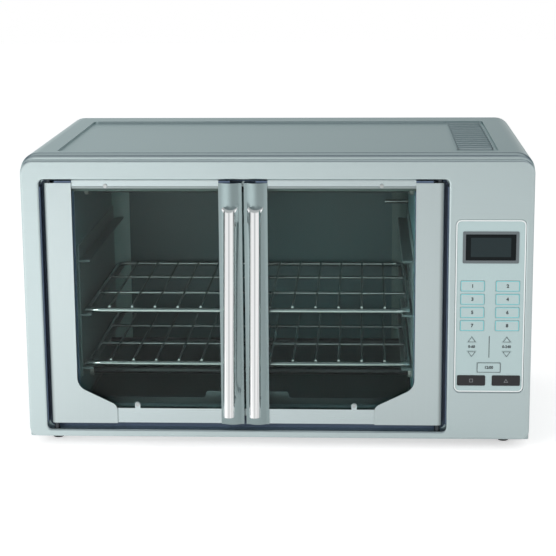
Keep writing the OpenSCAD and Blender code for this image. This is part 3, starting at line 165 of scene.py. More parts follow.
def ramp(tree, factor, stops):
    """A colour ramp. Each stop is a place from 0 to 1 and a grey value or a colour."""
    made = add_node(tree, "ShaderNodeValToRGB", {"Fac": factor})
    elements = made.color_ramp.elements
    while len(elements) < len(stops):
        elements.new(1)
    for element, (place, value) in zip(elements, stops):
        element.position = place
        element.color = (value, value, value, 1) if isinstance(value, float) else (*value, 1)
    return made.outputs["Color"]


print("node helpers are ready")

# %% [markdown]
# ## Shared effects
# An effect that several finishes share is built once, as a node group, and each finish gives it
# its own numbers. A group gives out only values, colours and normals. The shader stays in the
# material. The three steps below come back in both groups: a noise, a value that a noise moves
# up and down, and a surface that a noise tilts.

# %% Group helpers
SOCKET_KINDS = {"float": "NodeSocketFloat", "colour": "NodeSocketColor",
                "vector": "NodeSocketVector"}


def new_group(name, inputs, outputs):
    """A node group, the sockets that its inner nodes start from, and those they end in."""
    tree = bpy.data.node_groups.new(name, "ShaderNodeTree")
    for socket, (kind, value) in inputs.items():
        made = tree.interface.new_socket(socket, in_out="INPUT", socket_type=SOCKET_KINDS[kind])
        made.default_value = value
    for socket, kind in outputs.items():
        tree.interface.new_socket(socket, in_out="OUTPUT", socket_type=SOCKET_KINDS[kind])
    given, result = tree.nodes.new("NodeGroupInput"), tree.nodes.new("NodeGroupOutput")
    return tree, given.outputs, result.inputs


def noise(tree, place, scale, detail, **inputs):
    """A noise from 0 to 1."""
    inputs.update(Vector=place, Scale=scale, Detail=detail)
    return add_node(tree, "ShaderNodeTexNoise", inputs).outputs["Fac"]


def vary(tree, value, by_noise, spread):
    """A value that a noise moves up and down, by half the spread each way."""
    centred = maths(tree, "SUBTRACT", by_noise, 0.5)
    return maths(tree, "ADD", value, maths(tree, "MULTIPLY", centred, spread))


def tilt(tree, height, strength, distance, **inputs):
    """The normal of a surface that is raised by a height."""
    inputs.update(Height=height, Strength=strength, Distance=distance)
    return add_node(tree, "ShaderNodeBump", inputs).outputs["Normal"]


print("kinds of socket:", ", ".join(SOCKET_KINDS))

# %% [markdown]
# ### Brushed grain
# Brushed sheet is polished in one direction. The scratches are far finer than they are long, so
# a noise texture is squeezed across the grain. The same streaks move the roughness and tilt the
# surface a little. A second, slow noise is the waviness of thin sheet: it bends reflections
# gently, which is what tells real sheet metal from a perfect plane. Each metal could have its
# own noise, but one group serves them all, with the grain's direction as an input.

# %% Group: brushed grain
SHEET_WAVE_SCALE = 7.0
SHEET_WAVE_DEPTH = 0.002
SCRATCH_DEPTH = 0.00002


def make_grain_group():
    tree, given, result = new_group(
        "brushed grain",
        {"Stretch": ("vector", (1, 1, 1)), "Depth": ("float", 0.1),
         "Roughness": ("float", 0.3), "Spread": ("float", 0.05), "Waviness": ("float", 0.1)},
        {"Roughness": "float", "Streak": "float", "Normal": "vector"})
    place = coordinates(tree)["Object"]
    squeezed = add_node(tree, "ShaderNodeVectorMath", {0: place, 1: given["Stretch"]},
                        operation="MULTIPLY").outputs[0]
    streak = noise(tree, squeezed, 1.0, 3.0, Roughness=0.6)
    wave = tilt(tree, noise(tree, place, SHEET_WAVE_SCALE, 1.0), given["Waviness"],
                SHEET_WAVE_DEPTH)
    scratched = tilt(tree, streak, given["Depth"], SCRATCH_DEPTH, Normal=wave)
    tree.links.new(vary(tree, given["Roughness"], streak, given["Spread"]), result["Roughness"])
    tree.links.new(streak, result["Streak"])
    tree.links.new(scratched, result["Normal"])
    return tree


GRAIN = make_grain_group()
print("made group", GRAIN.name)

# %% [markdown]
# ### Mottle
# Cast, moulded and painted surfaces have no direction. They get an even, fine mottle: a little
# lighter here, a little duller there, and a surface that is not quite flat. It is a group of its
# own, because it also changes the colour.

# %% Group: mottle
MOTTLE_SLOW_SCALE = 14.0
MOTTLE_DEPTH = 0.0001


def make_mottle_group():
    tree, given, result = new_group(
        "mottle",
        {"Colour": ("colour", (0.5, 0.5, 0.5, 1)), "Scale": ("float", 300.0),
         "Shade": ("float", 0.1), "Roughness": ("float", 0.4), "Spread": ("float", 0.1),
         "Depth": ("float", 0.1)},
        {"Colour": "colour", "Roughness": "float", "Normal": "vector"})
    place = coordinates(tree)["Object"]
    fine = noise(tree, place, given["Scale"], 3.0)
    slow = noise(tree, place, MOTTLE_SLOW_SCALE, 2.0)
    lightness = vary(tree, 1.0, slow, given["Shade"])
    tree.links.new(scale_colour(tree, given["Colour"], lightness), result["Colour"])
    tree.links.new(vary(tree, given["Roughness"], fine, given["Spread"]), result["Roughness"])
    tree.links.new(tilt(tree, fine, given["Depth"], MOTTLE_DEPTH), result["Normal"])
    return tree


MOTTLE = make_mottle_group()
print("made group", MOTTLE.name)

# %% [markdown]
# ## Finishes
# A finish is a Principled shader that is fed by one of the two groups. The numbers that stay the
# same all over a surface go straight on the shader's own sockets. There is one function for bare
# metal and one for everything that is moulded, painted or fired, and each call gives only what
# sets a finish apart: its colour, its gloss and its grain.

# %% Material helpers
SHEET_WAVINESS = 0.05
EDGE_TURN = (0.04, 0.5)
ALONG_X = (8, 2500, 2500)
ALONG_Z = (2500, 2500, 8)
EVEN = (900, 900, 900)


def new_material(name, **constants):
    """A material with a Principled shader. A socket's name has _ for its spaces."""
    material = bpy.data.materials.new(name)
    material.use_nodes = True
    tree = material.node_tree
    shader = tree.nodes["Principled BSDF"]
    for socket, value in constants.items():
        shader.inputs[socket.replace("_", " ")].default_value = value
    return material, tree, shader


def feed(tree, shader, colour, effect):
    """Links a colour and a group's roughness and normal to the shader."""
    tree.links.new(colour, shader.inputs["Base Color"])
    tree.links.new(effect["Roughness"], shader.inputs["Roughness"])
    tree.links.new(effect["Normal"], shader.inputs["Normal"])


def metal(name, colour, roughness, grain, depth=0.3, spread=0.1, streaks=0.08, painted_edge_shade=1.0):
    """Brushed or drawn metal. Grain gives the streaks' fineness along x, y and z.

    Painted edge shade darkens the surfaces that are turned to the left or the right: a painted
    shade on the rolled edges."""
    material, tree, shader = new_material(name, Metallic=1.0)
    effect = add_node(tree, "ShaderNodeGroup",
                      {"Stretch": grain, "Depth": depth, "Roughness": roughness,
                       "Spread": spread, "Waviness": SHEET_WAVINESS}, node_tree=GRAIN).outputs
    dark = tuple(c * (1 - streaks) for c in colour)
    base = mix_colours(tree, effect["Streak"], dark, colour)
    if painted_edge_shade < 1:
        turn = maths(tree, "ABSOLUTE", axes(tree, coordinates(tree)["Normal"])["X"])
        base = scale_colour(tree, base, map_range(tree, turn, *EDGE_TURN, 1.0, painted_edge_shade))
    feed(tree, shader, base, effect)
    return material


def moulded(name, colour, roughness, scale=300.0, shade=0.1, spread=0.1, depth=0.1, **constants):
    """Plastic, rubber, enamel or ceramic."""
    material, tree, shader = new_material(name, **constants)
    effect = add_node(tree, "ShaderNodeGroup",
                      {"Colour": (*colour, 1), "Scale": scale, "Shade": shade,
                       "Roughness": roughness, "Spread": spread, "Depth": depth},
                      node_tree=MOTTLE).outputs
    feed(tree, shader, effect["Colour"], effect)
    return material


def dress(material, *names):
    """Gives CAD nodes a material."""
    for name in names:
        NODES[name].data.materials.clear()
        NODES[name].data.materials.append(material)


print("grain along x:", ALONG_X, "along z:", ALONG_Z, "even:", EVEN)

# %% [markdown]
# ### The case
# The front and the wrap are satin stainless sheet, brushed from side to side. The wrap is the same
# steel, but its colour is a shade darker: painted shade, for the darker room that its top mirrors.
# What the owner never looks at, the base and the rear cover, is plain zinc-plated sheet, with a
# coarse, even bloom. The base colour of a metal is the colour of its reflections, so a slightly
# cool grey is enough, and the room does the rest.

# %% Case finishes
front_steel = metal("front steel", (0.585, 0.685, 0.69), 0.34, ALONG_X)
# The wrap's darker colour is painted shade: it is the same steel as the front.
shaded_wrap_steel = metal("wrap steel", (0.48, 0.575, 0.58), 0.30, ALONG_X)
zinc = metal("zinc sheet", (0.55, 0.57, 0.58), 0.42, EVEN, depth=0.5, spread=0.2, streaks=0.2)
dress(front_steel, "front_fascia")
dress(shaded_wrap_steel, "outer_wrap")
dress(zinc, "base_pan", "rear_cover", "fan_housing", "left_sync_bar", "right_sync_bar")
print("the case wears", front_steel.name, "and", shaded_wrap_steel.name)

# %% [markdown]
# ### The doors
# Each door is a sandwich of brushed strips round its glass. The trims are brushed upwards, and
# their rolled edges get a painted shade, which one number does. The handle stiles are smoother, and
# their darker colour is painted shade for the dark reflections of their rounded faces.
# The handles are polished tubes: hardly any grain and almost no roughness, so that they carry
# sharp bands of light. Hinge pins and brackets are blackened.

# %% Door finishes
# The trims' rolled edges get a painted shade: 0.55 of their colour.
trim_steel = metal("hinge trim steel", (0.57, 0.655, 0.66), 0.30, ALONG_Z, painted_edge_shade=0.55)
# The stiles' darker colour is painted shade, for the dark reflections of their rounded faces.
shaded_stile_steel = metal("handle stile steel", (0.30, 0.375, 0.38), 0.20, ALONG_Z)
rail_steel = metal("rail steel", (0.60, 0.69, 0.70), 0.26, ALONG_X)
handle_chrome = metal("polished tube", (0.88, 0.89, 0.89), 0.07, ALONG_Z, depth=0.03,
                      spread=0.03, streaks=0.03)
screw_steel = metal("plated screws", (0.50, 0.53, 0.53), 0.25, EVEN)
shaft_steel = metal("blackened steel", (0.07, 0.08, 0.09), 0.42, EVEN)
DOOR_FINISHES = {"hinge_trim": trim_steel, "handle_stile": shaded_stile_steel, "door_rails": rail_steel,
                 "handle": handle_chrome, "door_screws": screw_steel, "hinge_shafts": shaft_steel}
for side in ("left", "right"):
    for part, finish in DOOR_FINISHES.items():
        dress(finish, f"{side}_{part}")
dress(shaft_steel, "hinge_brackets")
dress(screw_steel, "case_screws", "temperature_probe")
print("each door wears", len(DOOR_FINISHES), "finishes, and its glass")

# %% [markdown]
# ### The hollow ends of the handles
# The upper end of each tube is ground out between two tips. It could be a piece of its own, but on
# the real handle it is the same polished metal. So a mask picks the surfaces that face up near the
# top, and there the finish turns pale and not metallic instead of mirror-like: a painted highlight
# for the bright crown that the polished end shows.

# %% Handle ends
END_BAND = (15 * MM, 10 * MM)
END_TURN = (0.25, 0.5)
handle_tree = handle_chrome.node_tree
handle_place = coordinates(handle_tree)
handle_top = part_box("left_handle")[1].z
facing_up = map_range(handle_tree, axes(handle_tree, handle_place["Normal"])["Z"], *END_TURN,
                      0.0, 1.0)
near_top = map_range(handle_tree, axes(handle_tree, handle_place["Object"])["Z"],
                     handle_top - END_BAND[0], handle_top - END_BAND[1], 0.0, 1.0)
# Painted highlight: faces that look up near the top turn pale and not metallic.
painted_pale = maths(handle_tree, "MULTIPLY", facing_up, near_top)
handle_tree.links.new(maths(handle_tree, "SUBTRACT", 1.0, painted_pale),
                      handle_tree.nodes["Principled BSDF"].inputs["Metallic"])
print("handles are satin above z =", round(handle_top - END_BAND[1], 4))

# %% [markdown]
# ### The door glass
# The panes are clear tempered glass with a faint green cast. Glass that is a full refracting
# shader casts a black shadow on the chamber behind it, because shadow rays don't bend. So the
# shader is mixed with a Transparent one that only shadow rays see, and light reaches the racks.

# %% Glass
GLASS_TINT = (0.80, 0.90, 0.87, 1)
GLASS_SHADOW = (0.85, 0.9, 0.88, 1)


def make_glass():
    material, tree, shader = new_material("door glass", Base_Color=GLASS_TINT, Roughness=0.02,
                                          IOR=1.2, Transmission_Weight=1.0)
    clear = add_node(tree, "ShaderNodeBsdfTransparent", {"Color": GLASS_SHADOW})
    shadow_ray = add_node(tree, "ShaderNodeLightPath").outputs["Is Shadow Ray"]
    both = add_node(tree, "ShaderNodeMixShader", {0: shadow_ray, 1: shader.outputs[0],
                                                  2: clear.outputs[0]})
    tree.links.new(both.outputs[0], tree.nodes["Material Output"].inputs["Surface"])
    return material


door_glass = make_glass()
dress(door_glass, "left_door_glass", "right_door_glass")
print("both panes wear", door_glass.name)

# %% [markdown]
# ### The oven's inside
# The chamber is enamelled nearly black. The wall next to the keypad looks across at the light
# that comes in past the other door, so it is the lightest: that light is painted into its enamel
# as a paler tone, through the normal of the faces that look to the left. The ledges that carry the
# racks are of dark steel, and their plates share the wall's tone, with the same painted light on
# the faces that look to the left. The racks are plated wire, and the straight bar at the front of
# each, which comes later, is the brightest of it: its paler plating is a painted highlight. The
# heating rods are sheathed in dull metal and end in pale ceramic.

# %% Oven interior finishes
LEFT_TURN = (-0.9, -0.6)


def lighten_faces_left(material, gain):
    """Paints light on the faces that look to the left: their colour is made paler by a factor."""
    tree = material.node_tree
    base = tree.nodes["Principled BSDF"].inputs["Base Color"]
    sideways = axes(tree, coordinates(tree)["Normal"])["X"]
    factor = map_range(tree, sideways, *LEFT_TURN, gain, 1.0)
    tree.links.new(scale_colour(tree, base.links[0].from_socket, factor), base)
    return material


enamel = moulded("cavity enamel", (0.042, 0.090, 0.098), 0.30, shade=0.15, spread=0.04,
                 depth=0.0)
guide_steel = moulded("guide steel", (0.11, 0.15, 0.155), 0.35, Metallic=0.3)
rack_chrome = metal("rack wire", (0.48, 0.52, 0.52), 0.20, EVEN, depth=0.1)
# The front bar is the same plated wire as the rest; its paler colour is a painted highlight.
highlight_bar_chrome = metal("rack front bar", (0.74, 0.76, 0.76), 0.16, EVEN, depth=0.1)
tray_steel = metal("tray steel", (0.15, 0.195, 0.20), 0.33, EVEN)
element_sheath = metal("element sheath", (0.075, 0.085, 0.088), 0.45, ALONG_X)
ceramic = moulded("ceramic", (0.42, 0.42, 0.40), 0.6, shade=0.2)
# Painted light: the faces that look to the left are made paler.
dress(lighten_faces_left(enamel, 4.0), "cavity_liner")
dress(lighten_faces_left(guide_steel, 2.6), "rack_guides", "fan_grille")
dress(rack_chrome, "upper_rack", "lower_rack")
dress(tray_steel, "crumb_tray")
dress(element_sheath, "upper_elements", "lower_elements")
dress(ceramic, "element_insulators")
print("the chamber wears", enamel.name, "and", guide_steel.name)

# %% [markdown]
# ### Hidden workings
# The fan, its motor, the door linkage and the boards only show through slots or with the doors
# open, but each still gets the finish of its real material: bright blades, a dull motor can, a
# brass rocker, nylon guides, green boards and black rubber for the feet and the lead's gland.

# %% Finishes of the workings
fan_blades = metal("fan blades", (0.6, 0.61, 0.62), 0.3, EVEN)
motor_can = metal("motor can", (0.35, 0.35, 0.36), 0.4, EVEN)
rocker_brass = metal("rocker brass", (0.72, 0.55, 0.26), 0.3, EVEN)
nylon = moulded("nylon", (0.80, 0.79, 0.75), 0.45)
circuit_board = moulded("circuit board", (0.02, 0.14, 0.06), 0.35, shade=0.3)
black_rubber = moulded("black rubber", (0.02, 0.02, 0.02), 0.7, scale=700.0)
dress(fan_blades, "convection_fan")
dress(motor_can, "fan_motor")
dress(rocker_brass, "sync_rocker")
dress(nylon, "sync_guides")
dress(circuit_board, "control_board", "power_board", "display_module")
dress(black_rubber, "feet", "cord_gland")
print("materials so far:", len(bpy.data.materials))

# %% [markdown]
# ### The keypad
# The panel and the pale caps are covered by one film, so they share a finish. The two lowest keys
# are black plastic, and the bezel is a dark grey moulding. The display's window is black and must
# stay black, although it faces a white room, so its shader's specular level is turned down, as an
# anti-glare coat would do.

# %% Keypad finishes
FUNCTION_KEYS = [f"function_key_{i}" for i in range(1, 9)]
ARROW_KEYS = ["time_up_key", "time_down_key", "heat_up_key", "heat_down_key"]
panel_film = moulded("panel film", (0.45, 0.57, 0.575), 0.35, scale=1200.0, shade=0.03)
bezel_grey = moulded("bezel grey", (0.13, 0.155, 0.165), 0.4)
display_black = moulded("display black", (0.006, 0.009, 0.010), 0.20, depth=0.0,
                        Specular_IOR_Level=0.12)
black_key = moulded("black keys", (0.012, 0.012, 0.014), 0.3)
dress(panel_film, "control_panel", "clock_key", *ARROW_KEYS, *FUNCTION_KEYS)
dress(bezel_grey, "display_bezel")
dress(display_black, "display_window")
dress(black_key, "stop_key", "start_key")
print("film-covered keys:", len(FUNCTION_KEYS) + len(ARROW_KEYS) + 1)

# %% [markdown]
# ## Printed marks on the keypad
# The outlines on the key caps are a thin film of ink. They could be painted in the material, but
# as rings a tenth of a millimetre high they are also in the mesh. A ring starts as a plane: its
# corners are bevelled, its face is inset, the middle is deleted, and Solidify gives it the ink's
# height. Each mark rides on the cap that it is printed on, so it moves when the key is pressed.

# %% Piece helpers
INK = 0.12 * MM
INK_STROKE = 0.5 * MM
FACING_FRONT = (math.radians(90), 0, 0)


def start_piece(name, operator, **settings):
    """Adds a primitive as the only selected object, and names it."""
    bpy.ops.object.select_all(action="DESELECT")
    operator(**settings)
    piece = bpy.context.object
    piece.name = name
    piece.data.name = name
    return piece


def settle(piece, material, body):
    """Puts a piece's place into its mesh, gives it its finish, and lets it ride on its body."""
    bpy.ops.object.transform_apply(location=True, rotation=True, scale=True)
    piece.data.materials.clear()
    piece.data.materials.append(material)
    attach(piece, body)


def stretch(piece, scale):
    """Scales a piece about its own middle, and puts the scale into its mesh."""
    piece.scale = scale
    bpy.ops.object.transform_apply(location=False, rotation=False, scale=True)


def edit_all():
    """Opens the active piece in edit mode, with all of it selected."""
    bpy.ops.object.mode_set(mode="EDIT")
    bpy.ops.mesh.select_all(action="SELECT")


def hollow_out(stroke):
    """Insets the selected face and deletes what is left of it in the middle."""
    bpy.ops.mesh.inset(thickness=stroke, depth=0)
    bpy.ops.mesh.delete(type="FACE")


def solidify(piece, thickness):
    """Gives a flat piece its height, towards the front."""
    shell = piece.modifiers.new("height", "SOLIDIFY")
    shell.thickness = thickness
    shell.offset = 1
    bpy.ops.object.modifier_apply(modifier=shell.name)


print("ink is", INK / MM, "mm high, and an outline", INK_STROKE / MM, "mm wide")

# %% [markdown]
# Three kinds of mark are enough for the whole keypad: a rounded frame, a triangle and a number.
# The triangle is a circle of three corners, which is hollowed out in the same way as the frame.
# A number starts as a text object. The outline of a letter closes on itself with two points in
# the same place, so these are merged, or the mesh would have an open seam.

# %% Printed marks
CORNER_SEGMENTS = 4
NUMBER_WEIGHT = 0.05
NUMBER_CURVES = 6
DOUBLES = INK / 10


def printed_frame(name, centre, width, height, corner, stroke=INK_STROKE, rise=INK):
    """A rounded frame that faces the front. With no stroke it is a full plate."""
    piece = start_piece(name, bpy.ops.mesh.primitive_plane_add, size=1, location=centre,
                        rotation=FACING_FRONT)
    stretch(piece, (width, height, 1))
    edit_all()
    bpy.ops.mesh.bevel(offset=corner, segments=CORNER_SEGMENTS, affect="VERTICES")
    bpy.ops.mesh.select_all(action="SELECT")
    if stroke:
        hollow_out(stroke)
    bpy.ops.object.mode_set(mode="OBJECT")
    solidify(piece, rise)
    return piece


def printed_triangle(name, centre, width, height, point_up):
    """The outline of a triangle that faces the front, centred on its height."""
    piece = start_piece(name, bpy.ops.mesh.primitive_circle_add, vertices=3, radius=1,
                        fill_type="NGON", location=centre, rotation=FACING_FRONT)
    across, along = ([v.co[axis] for v in piece.data.vertices] for axis in (0, 1))
    turn = 1 if point_up else -1
    tall = turn * height / (max(along) - min(along))
    stretch(piece, (turn * width / (max(across) - min(across)), tall, 1))
    edit_all()
    bpy.ops.transform.translate(value=(0, 0, -tall * (min(along) + max(along)) / 2))
    hollow_out(INK_STROKE)
    bpy.ops.object.mode_set(mode="OBJECT")
    solidify(piece, INK)
    return piece


def printed_number(name, text, centre, size):
    """A plain number that faces the front, made into a mesh."""
    piece = start_piece(name, bpy.ops.object.text_add, location=centre, rotation=FACING_FRONT)
    piece.data.body = text
    piece.data.size = size
    piece.data.align_x = "CENTER"
    piece.data.align_y = "CENTER"
    piece.data.extrude = INK / 2
    piece.data.offset = size * NUMBER_WEIGHT
    piece.data.resolution_u = NUMBER_CURVES
    bpy.ops.object.convert(target="MESH")
    edit_all()
    bpy.ops.mesh.remove_doubles(threshold=DOUBLES)
    bpy.ops.mesh.normals_make_consistent(inside=False)
    bpy.ops.object.mode_set(mode="OBJECT")
    return bpy.context.object


print("kinds of mark: frame, triangle, number")

# %% [markdown]
# ### Inks and the place to print
# Three inks are printed on the caps: a clear blue-green for the frames of the function keys, a
# near black for most of the rest, and a grey that shows on the black keys. A cap has a flange
# that hides behind the panel, so the visible front is a little smaller than the solid's box.

# %% Inks
CAP_FLANGE = 1 * MM
INK_FINISH = {"scale": 2000.0, "shade": 0.04}
aqua_ink = moulded("aqua ink", (0.10, 0.62, 0.66), 0.4, **INK_FINISH)
dark_ink = moulded("dark ink", (0.035, 0.045, 0.05), 0.45, **INK_FINISH)
grey_ink = moulded("grey ink", (0.22, 0.23, 0.24), 0.45, **INK_FINISH)


def cap_front(node):
    """The middle of a key cap's front, and the width and height of what shows of it."""
    low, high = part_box(node)
    centre = Vector(((low.x + high.x) / 2, low.y, (low.z + high.z) / 2))
    return centre, high.x - low.x - 2 * CAP_FLANGE, high.z - low.z - 2 * CAP_FLANGE


print("inks:", aqua_ink.name, dark_ink.name, grey_ink.name)

# %% [markdown]
# ### Function keys
# Eight wide keys stand in two columns. On such an oven each carries the name of a programme.
# Here a plain number takes its place, inside the same blue-green frame. The frame is smaller
# than the cap by the width of its own line, so that all of the ink lies on the cap.

# %% Function keys
NUMBER_SIZE = 5.2 * MM
KEY_CORNER = 1.2 * MM
for number, node in enumerate(FUNCTION_KEYS, start=1):
    centre, width, height = cap_front(node)
    outline = printed_frame(f"{node}_outline", centre, width - INK_STROKE,
                            height - INK_STROKE, KEY_CORNER)
    settle(outline, aqua_ink, node)
    figure = printed_number(f"{node}_number", str(number), centre, NUMBER_SIZE)
    settle(figure, dark_ink, node)
print("marks on the function keys:", 2 * len(FUNCTION_KEYS))

# %% [markdown]
# ### Arrow and clock keys
# Two pairs of arrows set the time and the heat. Each is a triangular cap, and its outline is
# drawn a little inside the edge. The clock key is a wide one with a time on it, in numbers that
# are slightly smaller, so that they fit.

# %% Arrow and clock keys
ARROW_SHARE = 0.86
CLOCK_CORNER = 1.4 * MM
CLOCK_NUMBER = 0.85
for node in ARROW_KEYS:
    centre, width, height = cap_front(node)
    arrow = printed_triangle(f"{node}_outline", centre, width * ARROW_SHARE,
                             height * ARROW_SHARE, "_up_" in node)
    settle(arrow, dark_ink, node)
centre, width, height = cap_front("clock_key")
clock_frame = printed_frame("clock_key_outline", centre, width - INK_STROKE,
                            height - INK_STROKE, CLOCK_CORNER)
settle(clock_frame, dark_ink, "clock_key")
clock_time = printed_number("clock_key_number", "12:00", centre, NUMBER_SIZE * CLOCK_NUMBER)
settle(clock_time, dark_ink, "clock_key")
print("outlines on", len(ARROW_KEYS) + 1, "keys")

# %% [markdown]
# ### Stop and start keys
# The two black keys at the foot of the keypad get the signs that everyone knows, a square to
# stop and a triangle to start. They are sized by the key's height, so that they stay in
# proportion on a wide cap.

# %% Stop and start keys
STOP_SHARE = 0.34
STOP_CORNER = 0.3 * MM
START_SHARE = (0.42, 0.36)
centre, width, height = cap_front("stop_key")
stop_mark = printed_frame("stop_key_mark", centre, height * STOP_SHARE, height * STOP_SHARE,
                          STOP_CORNER)
settle(stop_mark, grey_ink, "stop_key")
centre, width, height = cap_front("start_key")
start_mark = printed_triangle("start_key_mark", centre, height * START_SHARE[0],
                              height * START_SHARE[1], True)
settle(start_mark, grey_ink, "start_key")
print("marks", round(height * STOP_SHARE / MM, 2), "mm high on the black keys")

# %% [markdown]
# ### Marks on the panel itself
# Between the two pairs of arrows runs a thin dividing line, and each pair has a plain number
# that stands for its scale. The display glass has a slightly raised, greyer field where its
# figures light up. These don't move with a key, so they ride on the oven's body.

# %% Panel marks and display field
DIVIDER = (0.8 * MM, 25 * MM)
DIVIDER_CORNER = 0.3 * MM
SCALE_NUMBER = 0.8
FIELD_SHARE = (0.80, 0.74)
FIELD_CORNER = 0.6 * MM
panel_low, panel_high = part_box("control_panel")
panel_mid = (panel_low + panel_high) / 2
display_low, display_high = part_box("display_window")
display_mid = (display_low + display_high) / 2
PANEL_FACE_Y = display_low.y
ARROW_MIDDLE_Z = (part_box("time_up_key")[0].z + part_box("time_down_key")[1].z) / 2
divider = printed_frame("keypad_divider", (panel_mid.x, PANEL_FACE_Y, ARROW_MIDDLE_Z), *DIVIDER,
                        DIVIDER_CORNER, stroke=0)
settle(divider, dark_ink, "oven_body")
for node, text in (("time_up_key", "0-60"), ("heat_up_key", "0-240")):
    place = (cap_front(node)[0].x, PANEL_FACE_Y, ARROW_MIDDLE_Z)
    scale_mark = printed_number(f"{node}_scale", text, place, NUMBER_SIZE * SCALE_NUMBER)
    settle(scale_mark, dark_ink, "oven_body")
field_glass = moulded("display field", (0.020, 0.032, 0.035), 0.2, depth=0.0,
                      Specular_IOR_Level=0.15)
display_field = printed_frame("display_field", (display_mid.x, display_low.y, display_mid.z),
                              (display_high.x - display_low.x) * FIELD_SHARE[0],
                              (display_high.z - display_low.z) * FIELD_SHARE[1],
                              FIELD_CORNER, stroke=0)
settle(display_field, field_glass, "oven_body")
print("panel face at y =", round(PANEL_FACE_Y, 5))

# %% [markdown]
# ## The panel's rim
# The keypad sits in a moulded rim that catches the light as a bright line round the panel. Its
# near-white colour is a painted highlight for that line. It is a frame like the printed ones, but
# with real height, and Bevel rounds its edges: a sharp edge would show no highlight at all.

# %% Panel rim
RIM_STROKE = 1.4 * MM
RIM_RISE = 1.1 * MM
RIM_ROUND = RIM_RISE * 0.4
PANEL_CORNER = 5.8 * MM
PANEL_FLANGE = 1.7 * MM


def select_only(piece):
    """Makes a piece the active object, and the only one that is selected."""
    bpy.ops.object.select_all(action="DESELECT")
    bpy.context.view_layer.objects.active = piece
    piece.select_set(True)


def round_edges(piece, width, segments):
    """Rounds the sharp edges of a piece."""
    select_only(piece)
    edge = piece.modifiers.new("rounded edge", "BEVEL")
    edge.width = width
    edge.segments = segments
    bpy.ops.object.modifier_apply(modifier=edge.name)


rim = printed_frame("panel_rim", (panel_mid.x, panel_low.y, panel_mid.z),
                    panel_high.x - panel_low.x - 2 * PANEL_FLANGE,
                    panel_high.z - panel_low.z - 2 * PANEL_FLANGE,
                    PANEL_CORNER, RIM_STROKE, RIM_RISE)
round_edges(rim, RIM_ROUND, 2)
# Near white: a painted highlight for the rim's bright line.
rim_highlight_white = moulded("rim white", (0.86, 0.90, 0.90), 0.22, shade=0.03)
settle(rim, rim_highlight_white, "oven_body")
print("rim", [round(v, 3) for v in rim.dimensions])

# %% [markdown]
# ## The door seal
# Behind the doors a dark silicone frame covers the lip of the front, and its outer edge lines the
# sides of the groove that the doors stand in. Its dark blue is painted shade: it is what makes the
# groove read as a dark line, as the shadow in it would.
# The frame is a plate with the oven's opening cut out of it by Boolean, which takes any opening,
# while an inset would give all four sides the same width.

# %% Door seal
SIDE_GAP = 4 * MM
HEAD_GAP = 3.5 * MM
SILL_GAP = 7.5 * MM
SEAL_T = 1.0 * MM
SEAL_BEHIND = 3.0 * MM
SEAL_CORNER = 8 * MM
CUT_DEPTH = 20 * MM
trim_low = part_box("left_hinge_trim")[0]
trim_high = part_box("right_hinge_trim")[1]
liner_low, liner_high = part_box("cavity_liner")
guides_low, guides_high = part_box("rack_guides")
SEAL_BACK_Y = trim_high.y + SEAL_BEHIND
groove_x = (trim_low.x - SIDE_GAP, trim_high.x + SIDE_GAP)
groove_z = (trim_low.z - SILL_GAP, trim_high.z + HEAD_GAP)


def add_block(name, low, high):
    """A block between two corners."""
    low, high = Vector(low), Vector(high)
    block = start_piece(name, bpy.ops.mesh.primitive_cube_add, size=1, location=(low + high) / 2)
    stretch(block, high - low)
    return block


def cut_away(piece, cutter):
    """Takes the cutter's space out of the piece, and deletes the cutter."""
    cut = piece.modifiers.new("opening", "BOOLEAN")
    cut.operation = "DIFFERENCE"
    cut.solver = "EXACT"
    cut.object = cutter
    select_only(piece)
    bpy.ops.object.modifier_apply(modifier=cut.name)
    bpy.data.objects.remove(cutter, do_unlink=True)


# Dark blue as painted shade, for the shadow in the groove round the doors.
painted_shade_rubber = moulded("seal rubber", (0.095, 0.135, 0.21), 0.42, scale=800.0, shade=0.1,
                      depth=0.05)
seal_middle = (sum(groove_x) / 2, SEAL_BACK_Y, sum(groove_z) / 2)
seal = printed_frame("door_seal", seal_middle, groove_x[1] - groove_x[0],
                     groove_z[1] - groove_z[0], SEAL_CORNER, stroke=0, rise=SEAL_T)
mouth = add_block("mouth", (guides_low.x, SEAL_BACK_Y - CUT_DEPTH, liner_low.z),
                  (guides_high.x, SEAL_BACK_Y + CUT_DEPTH, liner_high.z))
cut_away(seal, mouth)
settle(seal, painted_shade_rubber, "oven_body")
print("door seal from", [round(v, 4) for v in (groove_x + groove_z)])

# %% [markdown]
# The seal's outer edge turns forward and lines the side walls of the groove with the same painted
# shade. The two linings are narrow upright plates with softened edges. They stop short of the
# groove's rounded corners.

# %% Groove linings
LINING_FRONT = 2.2 * MM
LINING_ROUND = 0.3 * MM
for side, wall_x, turn in (("left", groove_x[0], 1), ("right", groove_x[1], -1)):
    sides = sorted((wall_x, wall_x + turn * SEAL_T))
    lining = add_block(f"{side}_groove_lining",
                       (sides[0], FACE_Y + LINING_FRONT, groove_z[0] + SEAL_CORNER),
                       (sides[1], SEAL_BACK_Y, groove_z[1] - SEAL_CORNER))
    round_edges(lining, LINING_ROUND, 2)
    settle(lining, painted_shade_rubber, "oven_body")
print("lining", [round(v, 4) for v in lining.dimensions])

# %% [markdown]
# ## Rounded rear corners
# Enamelled walls meet in a rounded corner, which is easy to wipe and catches the light as a pale
# column. That light is painted into each corner's own enamel: the left one is much paler than the
# walls, the right one a little paler. Each is a quarter of an open cylinder: the faces of the other
# three quarters are deleted, and Solidify gives the sheet its thickness. The normals are turned
# first, because the side of a cylinder that is seen from the inside faces the wrong way.

# %% Rear corners
CORNER_R = 20 * MM
CORNER_T = 0.6 * MM
CORNER_CLEAR = 4 * MM
CORNER_SIDES = 64
LINER_T = 1.0 * MM
corner_y = liner_high.y - LINER_T - CORNER_R
corner_z = (liner_low.z + liner_high.z) / 2
corner_height = liner_high.z - liner_low.z - CORNER_CLEAR


